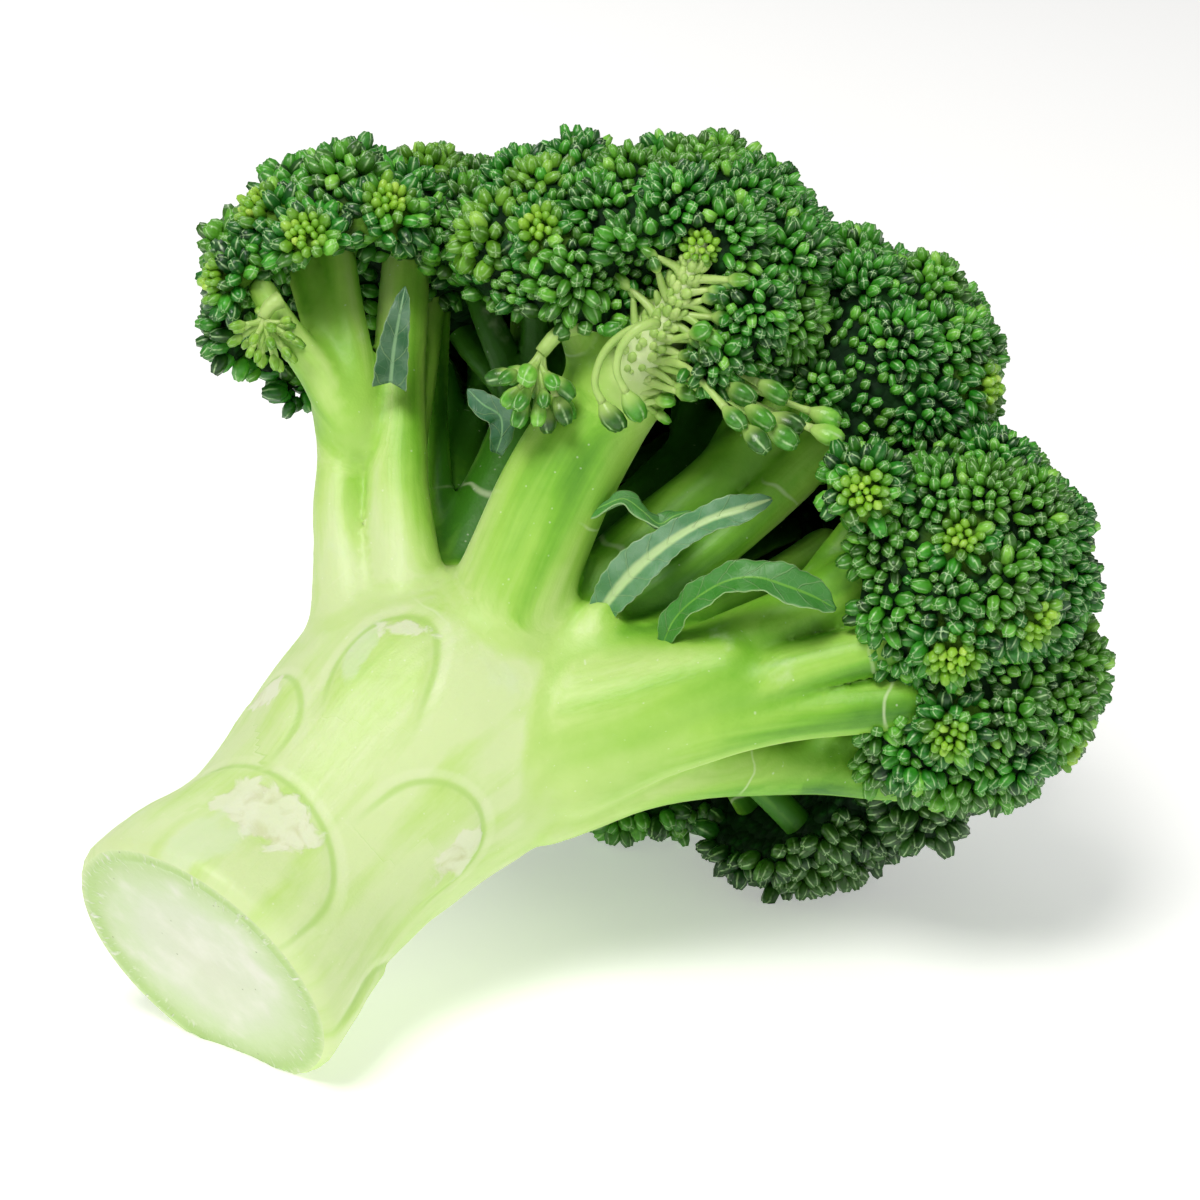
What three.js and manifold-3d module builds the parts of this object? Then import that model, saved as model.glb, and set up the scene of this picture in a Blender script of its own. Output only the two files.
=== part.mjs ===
// A head of broccoli, cut from its plant and lying on its side on a flat surface.
//
// Everything is drawn upright first, in the head's own frame: +Z runs along the stalk from the cut
// face up to the crown, and +X is the side that will touch the ground. The head is then leaned over
// about +Y and lifted, so that the crowns that carry it rest on z = 0.

import * as THREE from "three";
import { mergeVertices } from "three/addons/utils/BufferGeometryUtils.js";
import Module from "manifold-3d";

const wasm = await Module();
wasm.setup();

// ---------------------------------------------------------------- driving dimensions (mm, degrees)

const LEAN = 60.4; // from upright to lying, turned about +Y
const LIFT = 14.6; // raises the leaned head until its lowest crowns are pressed flat by the ground
const DOME_HEIGHT = 87; // from the cut face to the middle of the crown's dome
const CROWN_REACH = 55; // from the middle of the dome to where branches give way to bud heads
const CLEARANCE = 0.3; // between neighbouring pieces
const CUT_RADIUS = 24.5; // the stalk at its cut face
const CUT_CENTRE = [-5.9, 3.3, -1.2]; // the middle of the cut face
const CUT_TILT = 3; // how far the knife strayed from square
const CUT_TOWARD = 45; // the azimuth at which the cut leaves the stalk longest
const WAIST_RADIUS = 20.7; // the stalk at its thinnest
const FORK_RADIUS = 28; // the stalk where the branches part
const BRANCH_ROOT_OFFSET = 12; // how far from the stalk's axis a branch starts
const BRANCH_RUN = 20; // how far a branch runs up before it turns outwards
const BRANCH_ARRIVAL = 22; // how far it runs straight into its crown
const TWIG_LENGTH = 17; // the forks that spread under a crown
const TWIG_SPREAD = 9;
const TWIG_THINNING = [0.62, 0.5]; // a twig's first and last radius, as a share of its branch's
const LEAF_THICKNESS = 0.8;
const LEAF_FOLD = 0.14; // how much the blade rises at its edge, as a share of its width
const SPRIG_FLARE = 1.2; // how much thicker a sprig's stem is where it starts
const TRUNK_ROOM = { radius: 48, from: -10, to: 50 }; // the space around the bare stalk
const MARGIN = CLEARANCE + 0.1; // how much fatter a neighbour is made before it is cut away
const HALF_SPACE = 140; // the size of the boxes that cut one crown from the next
const CUT_BLOCK = { width: 100, depth: 20 }; // what the knife takes away
const GROUND_BLOCK = { width: 600, depth: 200 };

// How many sides and steps each kind of shape is drawn with.
const FACETS = {
  stem: { sides: 20, steps: 9 },
  branch: { sides: 9, steps: 5 },
  sideBranch: { sides: 7, steps: 4 },
  ownTwig: { sides: 6, steps: 3 },
  twig: { sides: 5, steps: 2 },
  sprig: { sides: 6, steps: 5 },
  leaf: { steps: 9 },
  lump: { around: 18, up: 10 },
  hollow: { around: 16, up: 10 },
  tuft: { around: 9, up: 6 },
  dome: { around: 28, up: 16 },
  trunk: 24,
  rim: 32,
};

// ---------------------------------------------------------------- the pieces

// The stalk's axis and radius, from the cut face to the fork.
const STALK = [
  { at: [-5.9, 3.3, -4], radius: CUT_RADIUS },
  { at: [-5.8, 3.4, 1], radius: CUT_RADIUS },
  { at: [-5.2, 3.5, 8], radius: 22.4 },
  { at: [-4.6, 3.7, 19], radius: WAIST_RADIUS },
  { at: [-4.3, 3.9, 31], radius: 21.4 },
  { at: [-4, 3.9, 42], radius: 23.2 },
  { at: [-2.8, 2.8, 54], radius: 25.6 },
  { at: [0, 0, 66], radius: FORK_RADIUS - 7 },
  { at: [0, 0, 76], radius: FORK_RADIUS - 17 },
];

// Each crown is one or two round lumps: [azimuth, polar angle, reach, radius] about the middle of the
// dome, azimuth 0 at the ground and 90 on the far side. Its branch is a list of points and two radii,
// or starts at a height on the stalk and bends outwards by rule. A hollow is a place under a crown
// that has no buds, and is listed as [x, y, z, radius]. A rim is the polar angle where buds end.
const CROWNS = [
  {
    name: "left",
    lumps: [[146.9, 85.8, 61.7, 24.5], [136.3, 66.4, 59.1, 22]],
    route: [
      [-8, 3, 38], [-12.5, 5, 50], [-19.5, 9.5, 60], [-27.5, 16.3, 67.4], [-36.2, 22, 77.5],
      [-43, 26, 88],
    ],
    girth: [12, 8],
    twigs: [
      {
        route: [
          [-39.2, 22.4, 76.7], [-47, 26.9, 82.3], [-54, 33.8, 87.7], [-59.5, 40.4, 93.5],
        ],
        girth: [6, 5],
      },
      {
        route: [
          [-38.4, 20.8, 78.1], [-46.7, 21.6, 85.6], [-53.4, 24.7, 94.1], [-58.6, 28.3, 101.9],
        ],
        girth: [6, 4.6],
      },
      {
        route: [
          [-31, 18.6, 77], [-35.8, 21.6, 87.7], [-39.9, 26.9, 98.7], [-44.9, 32, 108.8],
        ],
        girth: [4.5, 3.4],
      },
      {
        route: [
          [-42.4, 23.7, 77.6], [-50.4, 27.6, 79.2], [-57.8, 31.6, 79.8], [-63.9, 35.1, 81.5],
        ],
        girth: [5, 3.2],
      },
    ],
    hollows: [[-47.8, 20.7, 81.2, 23], [-60, 31.8, 80.2, 6.5], [-35, 34.5, 62.5, 17]],
  },
  { name: "left_back", lumps: [[106, 66, 64.5, 20.5]], root: 46, girth: [8, 5] },
  { name: "far", lumps: [[77.9, 70.7, 58.3, 22]], root: 43, girth: [8, 5.2] },
  { name: "far_low", lumps: [[49.1, 82.4, 49.9, 24]], root: 41, girth: [8, 5.5] },
  { name: "ground_far", lumps: [[15.9, 78.1, 53, 22]], root: 43, girth: [8, 5.5] },
  { name: "ground_near", lumps: [[341.7, 75.2, 53.9, 24]], root: 45, girth: [8, 5.5] },
  {
    name: "right",
    lumps: [[291, 67, 62.3, 24.5], [271.3, 59.9, 62.2, 23]],
    route: [
      [2, -2, 38], [0.5, -8, 51], [-0.9, -16.6, 62.3], [-1.2, -27.4, 73.1], [-1.5, -39.9, 86.7],
      [0.3, -53, 98],
    ],
    girth: [13, 9],
    side: {
      route: [
        [6, -4, 52], [12.2, -9.9, 62.5], [17, -17.4, 72.2], [26.4, -29.7, 84.6],
        [35.9, -42.1, 97.2],
      ],
      girth: [9, 5],
    },
  },
  {
    name: "middle",
    lumps: [[179.9, 60.5, 54, 24], [198, 53.3, 55.4, 25]],
    hollows: [[-55.1, -25.6, 106.5, 10.5]],
    rim: 78,
    route: [
      [-3, 0, 42], [-9.4, -4.2, 58.3], [-20.7, -6.2, 75.5], [-28.7, -7.6, 88.7],
      [-35.7, -11.2, 101.3], [-42.9, -16, 113.8],
    ],
    girth: [12, 7.6],
    twigs: [
      {
        route: [
          [-38.4, -13.9, 102.7], [-46.1, -20.2, 108], [-53.4, -25.2, 113.1],
          [-60.6, -28.8, 118.4],
        ],
        girth: [6.5, 4],
      },
      {
        route: [
          [-36.2, -12.1, 101], [-44.4, -8.7, 104], [-51.1, -6.6, 106.5], [-56.8, -3.5, 110.9],
        ],
        girth: [5, 4],
      },
      { route: [[-39, -15.3, 106], [-42.8, -20.1, 115.2], [-43.3, -24.4, 123.1]], girth: [5, 4] },
    ],
  },
  {
    name: "upper",
    lumps: [[243.6, 36.5, 57, 24]],
    route: [[-2, -3, 55], [-8.1, -9.2, 77.5], [-14.2, -20.6, 98.9], [-19, -33, 122]],
    girth: [9, 6.5],
  },
  { name: "crest_left", lumps: [[124.3, 45.6, 55.9, 26]], root: 55, girth: [7, 5] },
  { name: "crest_far", lumps: [[73.4, 45, 56.6, 26]], root: 57, girth: [7, 5] },
  { name: "crest_low", lumps: [[21, 44.4, 57.6, 26]], root: 57, girth: [7, 5] },
  { name: "crest_right", lumps: [[327.3, 44.6, 57.7, 26]], root: 53, girth: [7, 5.5] },
  { name: "apex", lumps: [[32.6, 7.4, 55.6, 27]], root: 57, girth: [9, 6.5] },
];

// Leaves: the midrib's points, the width at each of them, and the way the upper face looks.
const LEAVES = [
  {
    name: "long",
    rib: [
      [-13.6, -18.5, 79.1], [-17.7, -22.4, 84.7], [-20.1, -26.7, 90.8], [-20.9, -30.4, 95.6],
      [-20.2, -33.8, 100.1], [-19, -35.8, 104.1],
    ],
    widths: [8, 8, 5, 4, 5, 3],
    face: [-0.75, -0.6, -0.2],
    color: 0x5f8f52,
  },
  {
    name: "arched",
    rib: [
      [-6.9, -27.6, 77.8], [-12.2, -30.7, 81.6], [-16, -35.2, 85.2], [-17.3, -38.9, 88.5],
      [-16.8, -42.4, 90.9], [-14.5, -45.8, 92.6], [-11.2, -48.7, 94.5], [-8.1, -50.9, 95.7],
    ],
    widths: [3, 4, 4.5, 4.5, 5, 6, 6, 2.5],
    face: [-0.9, 0, 0.4],
    color: 0x4f8f33,
  },
  {
    name: "wavy",
    rib: [
      [-25.2, -13.6, 85.1], [-26.8, -17.5, 87.9], [-26.8, -19.5, 90], [-24.5, -21.4, 90.6],
      [-21.3, -23.5, 91.3], [-21, -24.6, 93.9], [-20.3, -25.9, 96.2],
    ],
    widths: [1.5, 2.6, 3, 3, 3, 2.6, 1.2],
    face: [-0.9, -0.2, 0.3],
    color: 0x5c8a4e,
  },
  {
    name: "bract",
    rib: [[-47.7, 16.1, 83.5], [-51.8, 16, 86.7], [-55.7, 16.1, 90.6], [-58.1, 17, 94.4]],
    widths: [6, 5.5, 4.5, 2],
    face: [-0.65, -0.65, -0.39],
    color: 0x35663f,
  },
  {
    name: "curl",
    rib: [
      [-33.3, 2.7, 86.9], [-36.2, 1.5, 88.6], [-38.7, 1.8, 89.9], [-41.5, 3.5, 89.1],
      [-43.9, 5.8, 89.3],
    ],
    widths: [2, 3, 3, 2.5, 1.2],
    face: [-0.65, -0.65, -0.39],
    color: 0x467a48,
  },
];

// Sprigs: thin flower stems, each with a tuft of buds at its end.
const SPRIGS = [
  {
    name: "hanging",
    stems: [
      [
        [-50.4, -12.6, 103.9], [-52.1, -12.3, 101], [-52.5, -10.8, 98], [-51.5, -9.8, 94.6],
        [-48.1, -9.6, 91.3],
      ],
    ],
    stem_radius: 1.6,
    tuft: [6.5, 5, 4.5],
  },
  {
    name: "curved",
    stems: [
      [
        [-52.3, -25.5, 105.5], [-53.6, -24.1, 102.7], [-52.4, -21.1, 99.6], [-50.2, -19.5, 97.1],
        [-47.5, -19.3, 94.7], [-44.9, -20.5, 93.8],
      ],
      [
        [-52.3, -25.5, 105.5], [-54, -25.9, 103.8], [-54.2, -24.9, 101.1], [-52.2, -23.3, 98.9],
        [-49.2, -22.8, 97], [-45.8, -23.6, 96.4],
      ],
    ],
    stem_radius: 0.9,
    tuft: [2.2, 1.9, 1.9],
  },
  {
    name: "drooping",
    stems: [
      [
        [-64.9, 28.5, 80.1], [-65.1, 29.1, 78.2], [-64.2, 29.4, 76.3], [-61.9, 29.2, 75.3],
      ],
    ],
    stem_radius: 1.4,
    tuft: [4, 3.5, 2.8],
  },
];

// ---------------------------------------------------------------- solids

const UP = new THREE.Vector3(0, 0, 1);
const vector = ([x, y, z]) => new THREE.Vector3(x, y, z);

// Turns a closed three.js geometry into a solid that can be joined and cut.
function solid(geometry) {
  const bare = geometry.clone();
  bare.deleteAttribute("normal");
  bare.deleteAttribute("uv");
  const merged = mergeVertices(bare, 1e-4);
  return new wasm.Manifold(new wasm.Mesh({
    numProp: 3,
    vertProperties: new Float32Array(merged.attributes.position.array),
    triVerts: new Uint32Array(merged.index.array),
  }));
}

// Turns a solid back into a geometry, with flat faces.
function geometryOf(manifold) {
  const mesh = manifold.getMesh();
  const geometry = new THREE.BufferGeometry();
  const corners = new Float32Array(mesh.vertProperties);
  geometry.setAttribute("position", new THREE.BufferAttribute(corners, 3));
  geometry.setIndex(new THREE.BufferAttribute(new Uint32Array(mesh.triVerts), 1));
  geometry.computeVertexNormals();
  return geometry;
}

function join(manifolds) {
  return manifolds.reduce((whole, part) => whole.add(part));
}

// A point at an azimuth, a polar angle and a reach about the middle of the dome.
function onDome(azimuth, polar, reach) {
  const a = THREE.MathUtils.degToRad(azimuth);
  const p = THREE.MathUtils.degToRad(polar);
  const out = new THREE.Vector3(Math.sin(p) * Math.cos(a), Math.sin(p) * Math.sin(a), Math.cos(p));
  return out.multiplyScalar(reach).add(vector([0, 0, DOME_HEIGHT]));
}

function ball(centre, radius, facets) {
  const geometry = new THREE.SphereGeometry(radius, facets.around, facets.up);
  geometry.rotateX(Math.PI / 2);
  geometry.translate(centre.x, centre.y, centre.z);
  return solid(geometry);
}

// Skins a row of rings, all with the same number of points, into one closed geometry.
function skin(rings) {
  const count = rings[0].length;
  const points = rings.flat();
  const index = [];
  for (let ring = 0; ring < rings.length - 1; ring += 1) {
    for (let i = 0; i < count; i += 1) {
      const a = ring * count + i;
      const b = ring * count + ((i + 1) % count);
      index.push(a, b, b + count, a, b + count, a + count);
    }
  }
  for (const [ring, turn] of [[0, -1], [rings.length - 1, 1]]) {
    const middle = points.length;
    const centre = rings[ring].reduce((sum, p) => sum.add(p), new THREE.Vector3()).divideScalar(count);
    points.push(centre);
    for (let i = 0; i < count; i += 1) {
      const a = ring * count + i;
      const b = ring * count + ((i + 1) % count);
      index.push(...(turn > 0 ? [a, b, middle] : [b, a, middle]));
    }
  }
  const geometry = new THREE.BufferGeometry().setFromPoints(points);
  geometry.setIndex(index);
  return geometry;
}

// A round limb along a smooth curve, its radius going from the first value to the last.
function limb(points, radii, { sides, steps }) {
  const curve = new THREE.CatmullRomCurve3(points, false, "centripetal");
  const frames = curve.computeFrenetFrames(steps, false);
  const rings = [];
  for (let step = 0; step <= steps; step += 1) {
    const along = step / steps;
    const centre = curve.getPointAt(along);
    const place = along * (radii.length - 1);
    const before = Math.min(Math.floor(place), radii.length - 2);
    const radius = THREE.MathUtils.lerp(radii[before], radii[before + 1], place - before);
    const ring = [];
    for (let i = 0; i < sides; i += 1) {
      const turn = (2 * Math.PI * i) / sides;
      const out = frames.normals[step].clone().multiplyScalar(Math.cos(turn) * radius);
      out.addScaledVector(frames.binormals[step], Math.sin(turn) * radius);
      ring.push(out.add(centre));
    }
    rings.push(ring);
  }
  return solid(skin(rings));
}

// ---------------------------------------------------------------- the stalk and its branches

function stalkAxis(height) {
  const above = STALK.findIndex((station) => station.at[2] > height);
  const high = STALK[above];
  const low = STALK[above - 1];
  const share = (height - low.at[2]) / (high.at[2] - low.at[2]);
  return vector(low.at).lerp(vector(high.at), share);
}

// The way out of the dome through the middle of a crown.
function crownDirection(crown) {
  const [azimuth, polar] = crown.lumps[0];
  return onDome(azimuth, polar, 1).sub(vector([0, 0, DOME_HEIGHT]));
}

function branchRoute(crown) {
  if (crown.route) return crown.route.map(vector);
  const out = crownDirection(crown);
  const level = new THREE.Vector3(out.x, out.y, 0).normalize();
  const sideways = crown.name === "apex" ? 0 : BRANCH_ROOT_OFFSET;
  const start = stalkAxis(crown.root).addScaledVector(level, sideways);
  const end = vector([0, 0, DOME_HEIGHT]).addScaledVector(out, CROWN_REACH + 2);
  const rising = start.clone().add(vector([0, 0, BRANCH_RUN]));
  const arriving = end.clone().addScaledVector(out, -BRANCH_ARRIVAL);
  return new THREE.CubicBezierCurve3(start, rising, arriving, end).getPoints(5);
}

// Three twigs spread from a branch just under its crown.
function twigs(route, tip_radius, extra) {
  const end = route[route.length - 1];
  const along = end.clone().sub(route[route.length - 2]).normalize();
  const side = UP.clone().cross(along).normalize();
  const up = along.clone().cross(side);
  const fork = end.clone().addScaledVector(along, -TWIG_LENGTH);
  return [0, 1, 2].map((number) => {
    const turn = (2 * Math.PI * number) / 3 + Math.PI / 2;
    const tip = end.clone().addScaledVector(side, Math.cos(turn) * TWIG_SPREAD);
    tip.addScaledVector(up, Math.sin(turn) * TWIG_SPREAD);
    const bend = fork.clone().lerp(tip, 0.5).addScaledVector(along, -1.5);
    const radii = TWIG_THINNING.map((share) => share * tip_radius + extra);
    return limb([fork, bend, tip], radii, FACETS.twig);
  });
}

// The whole plant body. Extra thickness makes the same shape a little fatter, to cut neighbours with.
function growStalk(extra) {
  const axis = STALK.map((station) => vector(station.at));
  const stem = limb(axis, STALK.map((station) => station.radius + extra), FACETS.stem);
  const parts = [stem];
  for (const crown of CROWNS) {
    const route = branchRoute(crown);
    const [root_radius, tip_radius] = crown.girth;
    parts.push(limb(route, [root_radius + extra, tip_radius + extra], FACETS.branch));
    const own = crown.twigs?.map((twig) => {
      return limb(twig.route.map(vector), twig.girth.map((radius) => radius + extra), FACETS.ownTwig);
    });
    parts.push(...(own ?? twigs(route, tip_radius, extra)));
    if (crown.side) {
      const girth = crown.side.girth.map((radius) => radius + extra);
      parts.push(limb(crown.side.route.map(vector), girth, FACETS.sideBranch));
    }
  }
  return join(parts);
}

// All that the knife took away, below the slightly slanted cut.
function belowCut() {
  const azimuth = THREE.MathUtils.degToRad(CUT_TOWARD);
  const hinge = new THREE.Vector3(-Math.sin(azimuth), Math.cos(azimuth), 0);
  const turn = new THREE.Quaternion().setFromAxisAngle(hinge, THREE.MathUtils.degToRad(CUT_TILT));
  const { width, depth } = CUT_BLOCK;
  const box = new THREE.BoxGeometry(width, width, depth);
  box.translate(0, 0, -depth / 2);
  box.applyQuaternion(turn);
  box.translate(...CUT_CENTRE);
  return solid(box);
}

// The room that belongs to the stalk and its branches: under the crowns.
function stalkRoom(margin) {
  const dome = ball(vector([0, 0, DOME_HEIGHT]), CROWN_REACH - margin, FACETS.dome);
  const { radius, from, to } = TRUNK_ROOM;
  const trunk = new THREE.CylinderGeometry(radius, radius, to - from, FACETS.trunk);
  trunk.rotateX(Math.PI / 2);
  trunk.translate(0, 0, (from + to) / 2);
  const hollows = CROWNS.flatMap((crown) => crown.hollows ?? []).map((hollow) => {
    return ball(vector(hollow), hollow[3] - margin, FACETS.hollow);
  });
  return join([dome, solid(trunk), ...hollows]);
}

// ---------------------------------------------------------------- the crowns

const LUMPS = CROWNS.flatMap((crown) => crown.lumps.map(([azimuth, polar, reach, radius]) => {
  return { crown: crown.name, centre: onDome(azimuth, polar, reach), radius };
}));

// Half of space beyond the plane where two lumps meet, less half the clearance and plus any extra.
function beyond(lump, neighbour, extra) {
  const span = neighbour.centre.clone().sub(lump.centre);
  const distance = span.length();
  const plane = (distance ** 2 + lump.radius ** 2 - neighbour.radius ** 2) / (2 * distance);
  const box = new THREE.BoxGeometry(HALF_SPACE, HALF_SPACE, HALF_SPACE);
  box.translate(0, 0, HALF_SPACE / 2 + plane - CLEARANCE / 2 + extra);
  box.applyQuaternion(new THREE.Quaternion().setFromUnitVectors(UP, span.normalize()));
  box.translate(lump.centre.x, lump.centre.y, lump.centre.z);
  return solid(box);
}

// All that lies above a polar angle about the middle of the dome, and a little more with extra.
function aboveRim(polar, extra) {
  const slope = THREE.MathUtils.degToRad(polar);
  const cone = new THREE.ConeGeometry(HALF_SPACE * Math.tan(slope), HALF_SPACE, FACETS.rim);
  cone.rotateX(-Math.PI / 2);
  cone.translate(0, 0, DOME_HEIGHT + HALF_SPACE / 2 - extra / Math.sin(slope));
  return solid(cone);
}

// A crown's head of buds. Extra thickness makes it a little fatter, to cut neighbours with.
function growCrown(crown, extra) {
  const own = LUMPS.filter((lump) => lump.crown === crown.name);
  const others = LUMPS.filter((lump) => lump.crown !== crown.name);
  const cells = own.map((lump) => {
    let cell = ball(lump.centre, lump.radius + extra, FACETS.lump);
    for (const other of others) {
      const touching = lump.centre.distanceTo(other.centre) < lump.radius + other.radius + 1;
      if (touching) cell = cell.subtract(beyond(lump, other, extra));
    }
    return cell;
  });
  const buds = join(cells).subtract(stalkRoom(extra));
  return crown.rim ? buds.intersect(aboveRim(crown.rim, extra)) : buds;
}

// ---------------------------------------------------------------- leaves and sprigs

function leafSolid(leaf) {
  const curve = new THREE.CatmullRomCurve3(leaf.rib.map(vector), false, "centripetal");
  const face = vector(leaf.face).normalize();
  const { steps } = FACETS.leaf;
  const across = [-1, 0, 1];
  const rings = [];
  for (let step = 0; step <= steps; step += 1) {
    const along = step / steps;
    const centre = curve.getPointAt(along);
    const tangent = curve.getTangentAt(along);
    const side = tangent.clone().cross(face).normalize();
    const up = side.clone().cross(tangent).normalize();
    const place = along * (leaf.widths.length - 1);
    const before = Math.min(Math.floor(place), leaf.widths.length - 2);
    const width = THREE.MathUtils.lerp(leaf.widths[before], leaf.widths[before + 1], place - before);
    const point = (share, lift) => {
      const fold = Math.abs(share) * width * LEAF_FOLD;
      return centre.clone().addScaledVector(side, (share * width) / 2).addScaledVector(up, fold + lift);
    };
    const top = across.map((share) => point(share, LEAF_THICKNESS / 2));
    const under = [...across].reverse().map((share) => point(share, -LEAF_THICKNESS / 2));
    rings.push([...under, ...top]);
  }
  return solid(skin(rings));
}

function sprigSolid(sprig) {
  const parts = [];
  for (const stem of sprig.stems) {
    const points = stem.map(vector);
    const end = points[points.length - 1];
    parts.push(limb(points, [sprig.stem_radius * SPRIG_FLARE, sprig.stem_radius], FACETS.sprig));
    const tuft = new THREE.SphereGeometry(1, FACETS.tuft.around, FACETS.tuft.up);
    tuft.scale(...sprig.tuft);
    tuft.translate(end.x, end.y, end.z);
    parts.push(solid(tuft));
  }
  return join(parts);
}

// ---------------------------------------------------------------- the head, leaned over and set down

const lean = new THREE.Matrix4().makeRotationY(THREE.MathUtils.degToRad(LEAN));
lean.setPosition(0, 0, LIFT);

const ground = new THREE.BoxGeometry(GROUND_BLOCK.width, GROUND_BLOCK.width, GROUND_BLOCK.depth);
ground.translate(0, 0, -GROUND_BLOCK.depth / 2);
const groundSolid = solid(ground);

const head = new THREE.Group();

function addPiece(name, manifold, look) {
  const leaned = geometryOf(manifold).applyMatrix4(lean);
  const geometry = geometryOf(solid(leaned).subtract(groundSolid));
  const mesh = new THREE.Mesh(geometry, new THREE.MeshStandardMaterial(look));
  mesh.name = name;
  head.add(mesh);
}

const stalk = growStalk(0).intersect(stalkRoom(CLEARANCE)).subtract(belowCut());
const taken = join([growStalk(MARGIN), ...CROWNS.map((crown) => growCrown(crown, MARGIN))]);

addPiece("stalk", stalk, { color: 0xbfd98a, roughness: 0.42, metalness: 0 });

for (const crown of CROWNS) {
  const buds = growCrown(crown, 0);
  addPiece(`crown_${crown.name}`, buds, { color: 0x2f6b2c, roughness: 0.7, metalness: 0 });
}

for (const leaf of LEAVES) {
  const blade = leafSolid(leaf).subtract(taken);
  addPiece(`leaf_${leaf.name}`, blade, { color: leaf.color, roughness: 0.5, metalness: 0 });
}

for (const sprig of SPRIGS) {
  const stems = sprigSolid(sprig).subtract(taken);
  addPiece(`sprig_${sprig.name}`, stems, { color: 0x7fae4e, roughness: 0.55, metalness: 0 });
}

// The origin is the middle of the head's footprint, on the surface it rests on.
const extent = new THREE.Box3().setFromObject(head);
const middle = extent.getCenter(new THREE.Vector3());
head.position.set(-middle.x, -middle.y, 0);

export default head;
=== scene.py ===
"""A head of broccoli lying on its side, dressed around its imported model.

Shapes are drawn in the head's own frame, in millimetres: +Z runs along the stalk from the cut face up
to the crown, and +X is the side that lies on the ground. Azimuths count from +X towards +Y, and polar
angles from +Z, both about the middle of the crown's dome. HeadFrame sets the finished points down
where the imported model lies, in metres.
"""
import logging
import math
from collections.abc import Iterable, Sequence
from dataclasses import dataclass, field
from enum import Enum

import bmesh
import bpy
import numpy as np
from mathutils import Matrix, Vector, noise
from mathutils.kdtree import KDTree


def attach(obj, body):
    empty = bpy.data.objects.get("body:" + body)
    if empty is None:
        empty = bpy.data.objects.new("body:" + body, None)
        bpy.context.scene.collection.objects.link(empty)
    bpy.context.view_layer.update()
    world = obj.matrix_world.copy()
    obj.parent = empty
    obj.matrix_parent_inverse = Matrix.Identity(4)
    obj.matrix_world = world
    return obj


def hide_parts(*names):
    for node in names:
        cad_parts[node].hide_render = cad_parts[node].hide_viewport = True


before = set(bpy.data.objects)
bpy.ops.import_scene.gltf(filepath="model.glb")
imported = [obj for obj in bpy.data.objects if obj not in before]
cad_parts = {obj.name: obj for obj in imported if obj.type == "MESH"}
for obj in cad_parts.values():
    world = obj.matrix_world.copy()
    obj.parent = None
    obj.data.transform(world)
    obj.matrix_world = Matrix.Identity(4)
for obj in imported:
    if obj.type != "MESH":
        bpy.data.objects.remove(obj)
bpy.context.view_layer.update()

log = logging.getLogger("broccoli")

MM = 0.001
DOME = np.array([0.0, 0.0, 87.0])
CROWN_REACH = 55.0
GOLDEN_ANGLE = math.radians(137.508)

Point = Sequence[float]
Shades = tuple[tuple[float, str], ...]

# the stem that shows between the buds of the middle crown
RIM_STEM = ((-38.4, -13.9, 102.7), (-45.6, -19.9, 107.7), (-52, -24.2, 112.5), (-58.1, -27.6, 117.1))


class Slot(Enum):
    """The record's material slots."""

    STALK = "stalk"
    BUDS = "buds"
    LEAVES = "leaves"
    SPRIGS = "sprigs"


# ------------------------------------------------------------------------------- small helpers


def unit(vectors: np.ndarray) -> np.ndarray:
    """Scales one vector, or each of an array of them, to length one."""
    return vectors / np.maximum(np.linalg.norm(vectors, axis=-1, keepdims=True), 1e-9)


def ease(values: np.ndarray, low: float, high: float) -> np.ndarray:
    """Rises smoothly from 0 at low to 1 at high, or falls if low is the larger."""
    share = np.clip((values - low) / (high - low), 0.0, 1.0)
    return share * share * (3.0 - 2.0 * share)


def soft_min(first: np.ndarray, second: np.ndarray, blend: float) -> np.ndarray:
    """The smaller of two distances, rounded where they differ by less than blend."""
    near = np.maximum(blend - np.abs(first - second), 0.0) / blend
    return np.minimum(first, second) - near * near * blend / 4.0


def on_dome(azimuth: float, polar: float, reach: float) -> np.ndarray:
    """A point about the middle of the dome.

    Args:
        azimuth: In degrees, 0 at the ground and 90 on the far side.
        polar: In degrees from the stalk's axis.
        reach: How far out, in millimetres.

    Returns:
        The point in the head's frame.
    """
    a, p = math.radians(azimuth), math.radians(polar)
    out = np.array([math.sin(p) * math.cos(a), math.sin(p) * math.sin(a), math.cos(p)])
    return DOME + reach * out


def across(directions: np.ndarray) -> tuple[np.ndarray, np.ndarray]:
    """Two directions square to each unit vector given, one a row, and to each other."""
    helper = np.where(np.abs(directions[:, 2:3]) < 0.9, [[0.0, 0.0, 1.0]], [[1.0, 0.0, 0.0]])
    side = unit(np.cross(helper, directions))
    return side, np.cross(directions, side)


def spiral(levels: np.ndarray, offset: float = 0.0) -> np.ndarray:
    """Directions in a golden spiral about +Z.

    Args:
        levels: How high each one points, from 1 for straight up to -1.
        offset: How many steps the spiral is turned on.

    Returns:
        One unit vector for each level.
    """
    turn = (np.arange(len(levels)) + offset) * GOLDEN_ANGLE
    ring = np.sqrt(1 - levels**2)
    return np.stack([ring * np.cos(turn), ring * np.sin(turn), levels], axis=1)


def bezier(a: np.ndarray, b: np.ndarray, c: np.ndarray, d: np.ndarray, count: int) -> np.ndarray:
    """Points along the curve from a, first towards b, and by way of c to d."""
    t = np.linspace(0, 1, count)[:, None]
    return (1 - t) ** 3 * a + 3 * t * (1 - t) ** 2 * b + 3 * t * t * (1 - t) * c + t**3 * d


def ripple(points: np.ndarray, size: float, seed: float = 0.0) -> np.ndarray:
    """Smooth noise of about -1 to 1 at points, with lumps of a size; the seed shifts it."""
    return np.array([noise.noise(point) for point in (points / size + seed).tolist()])


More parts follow.
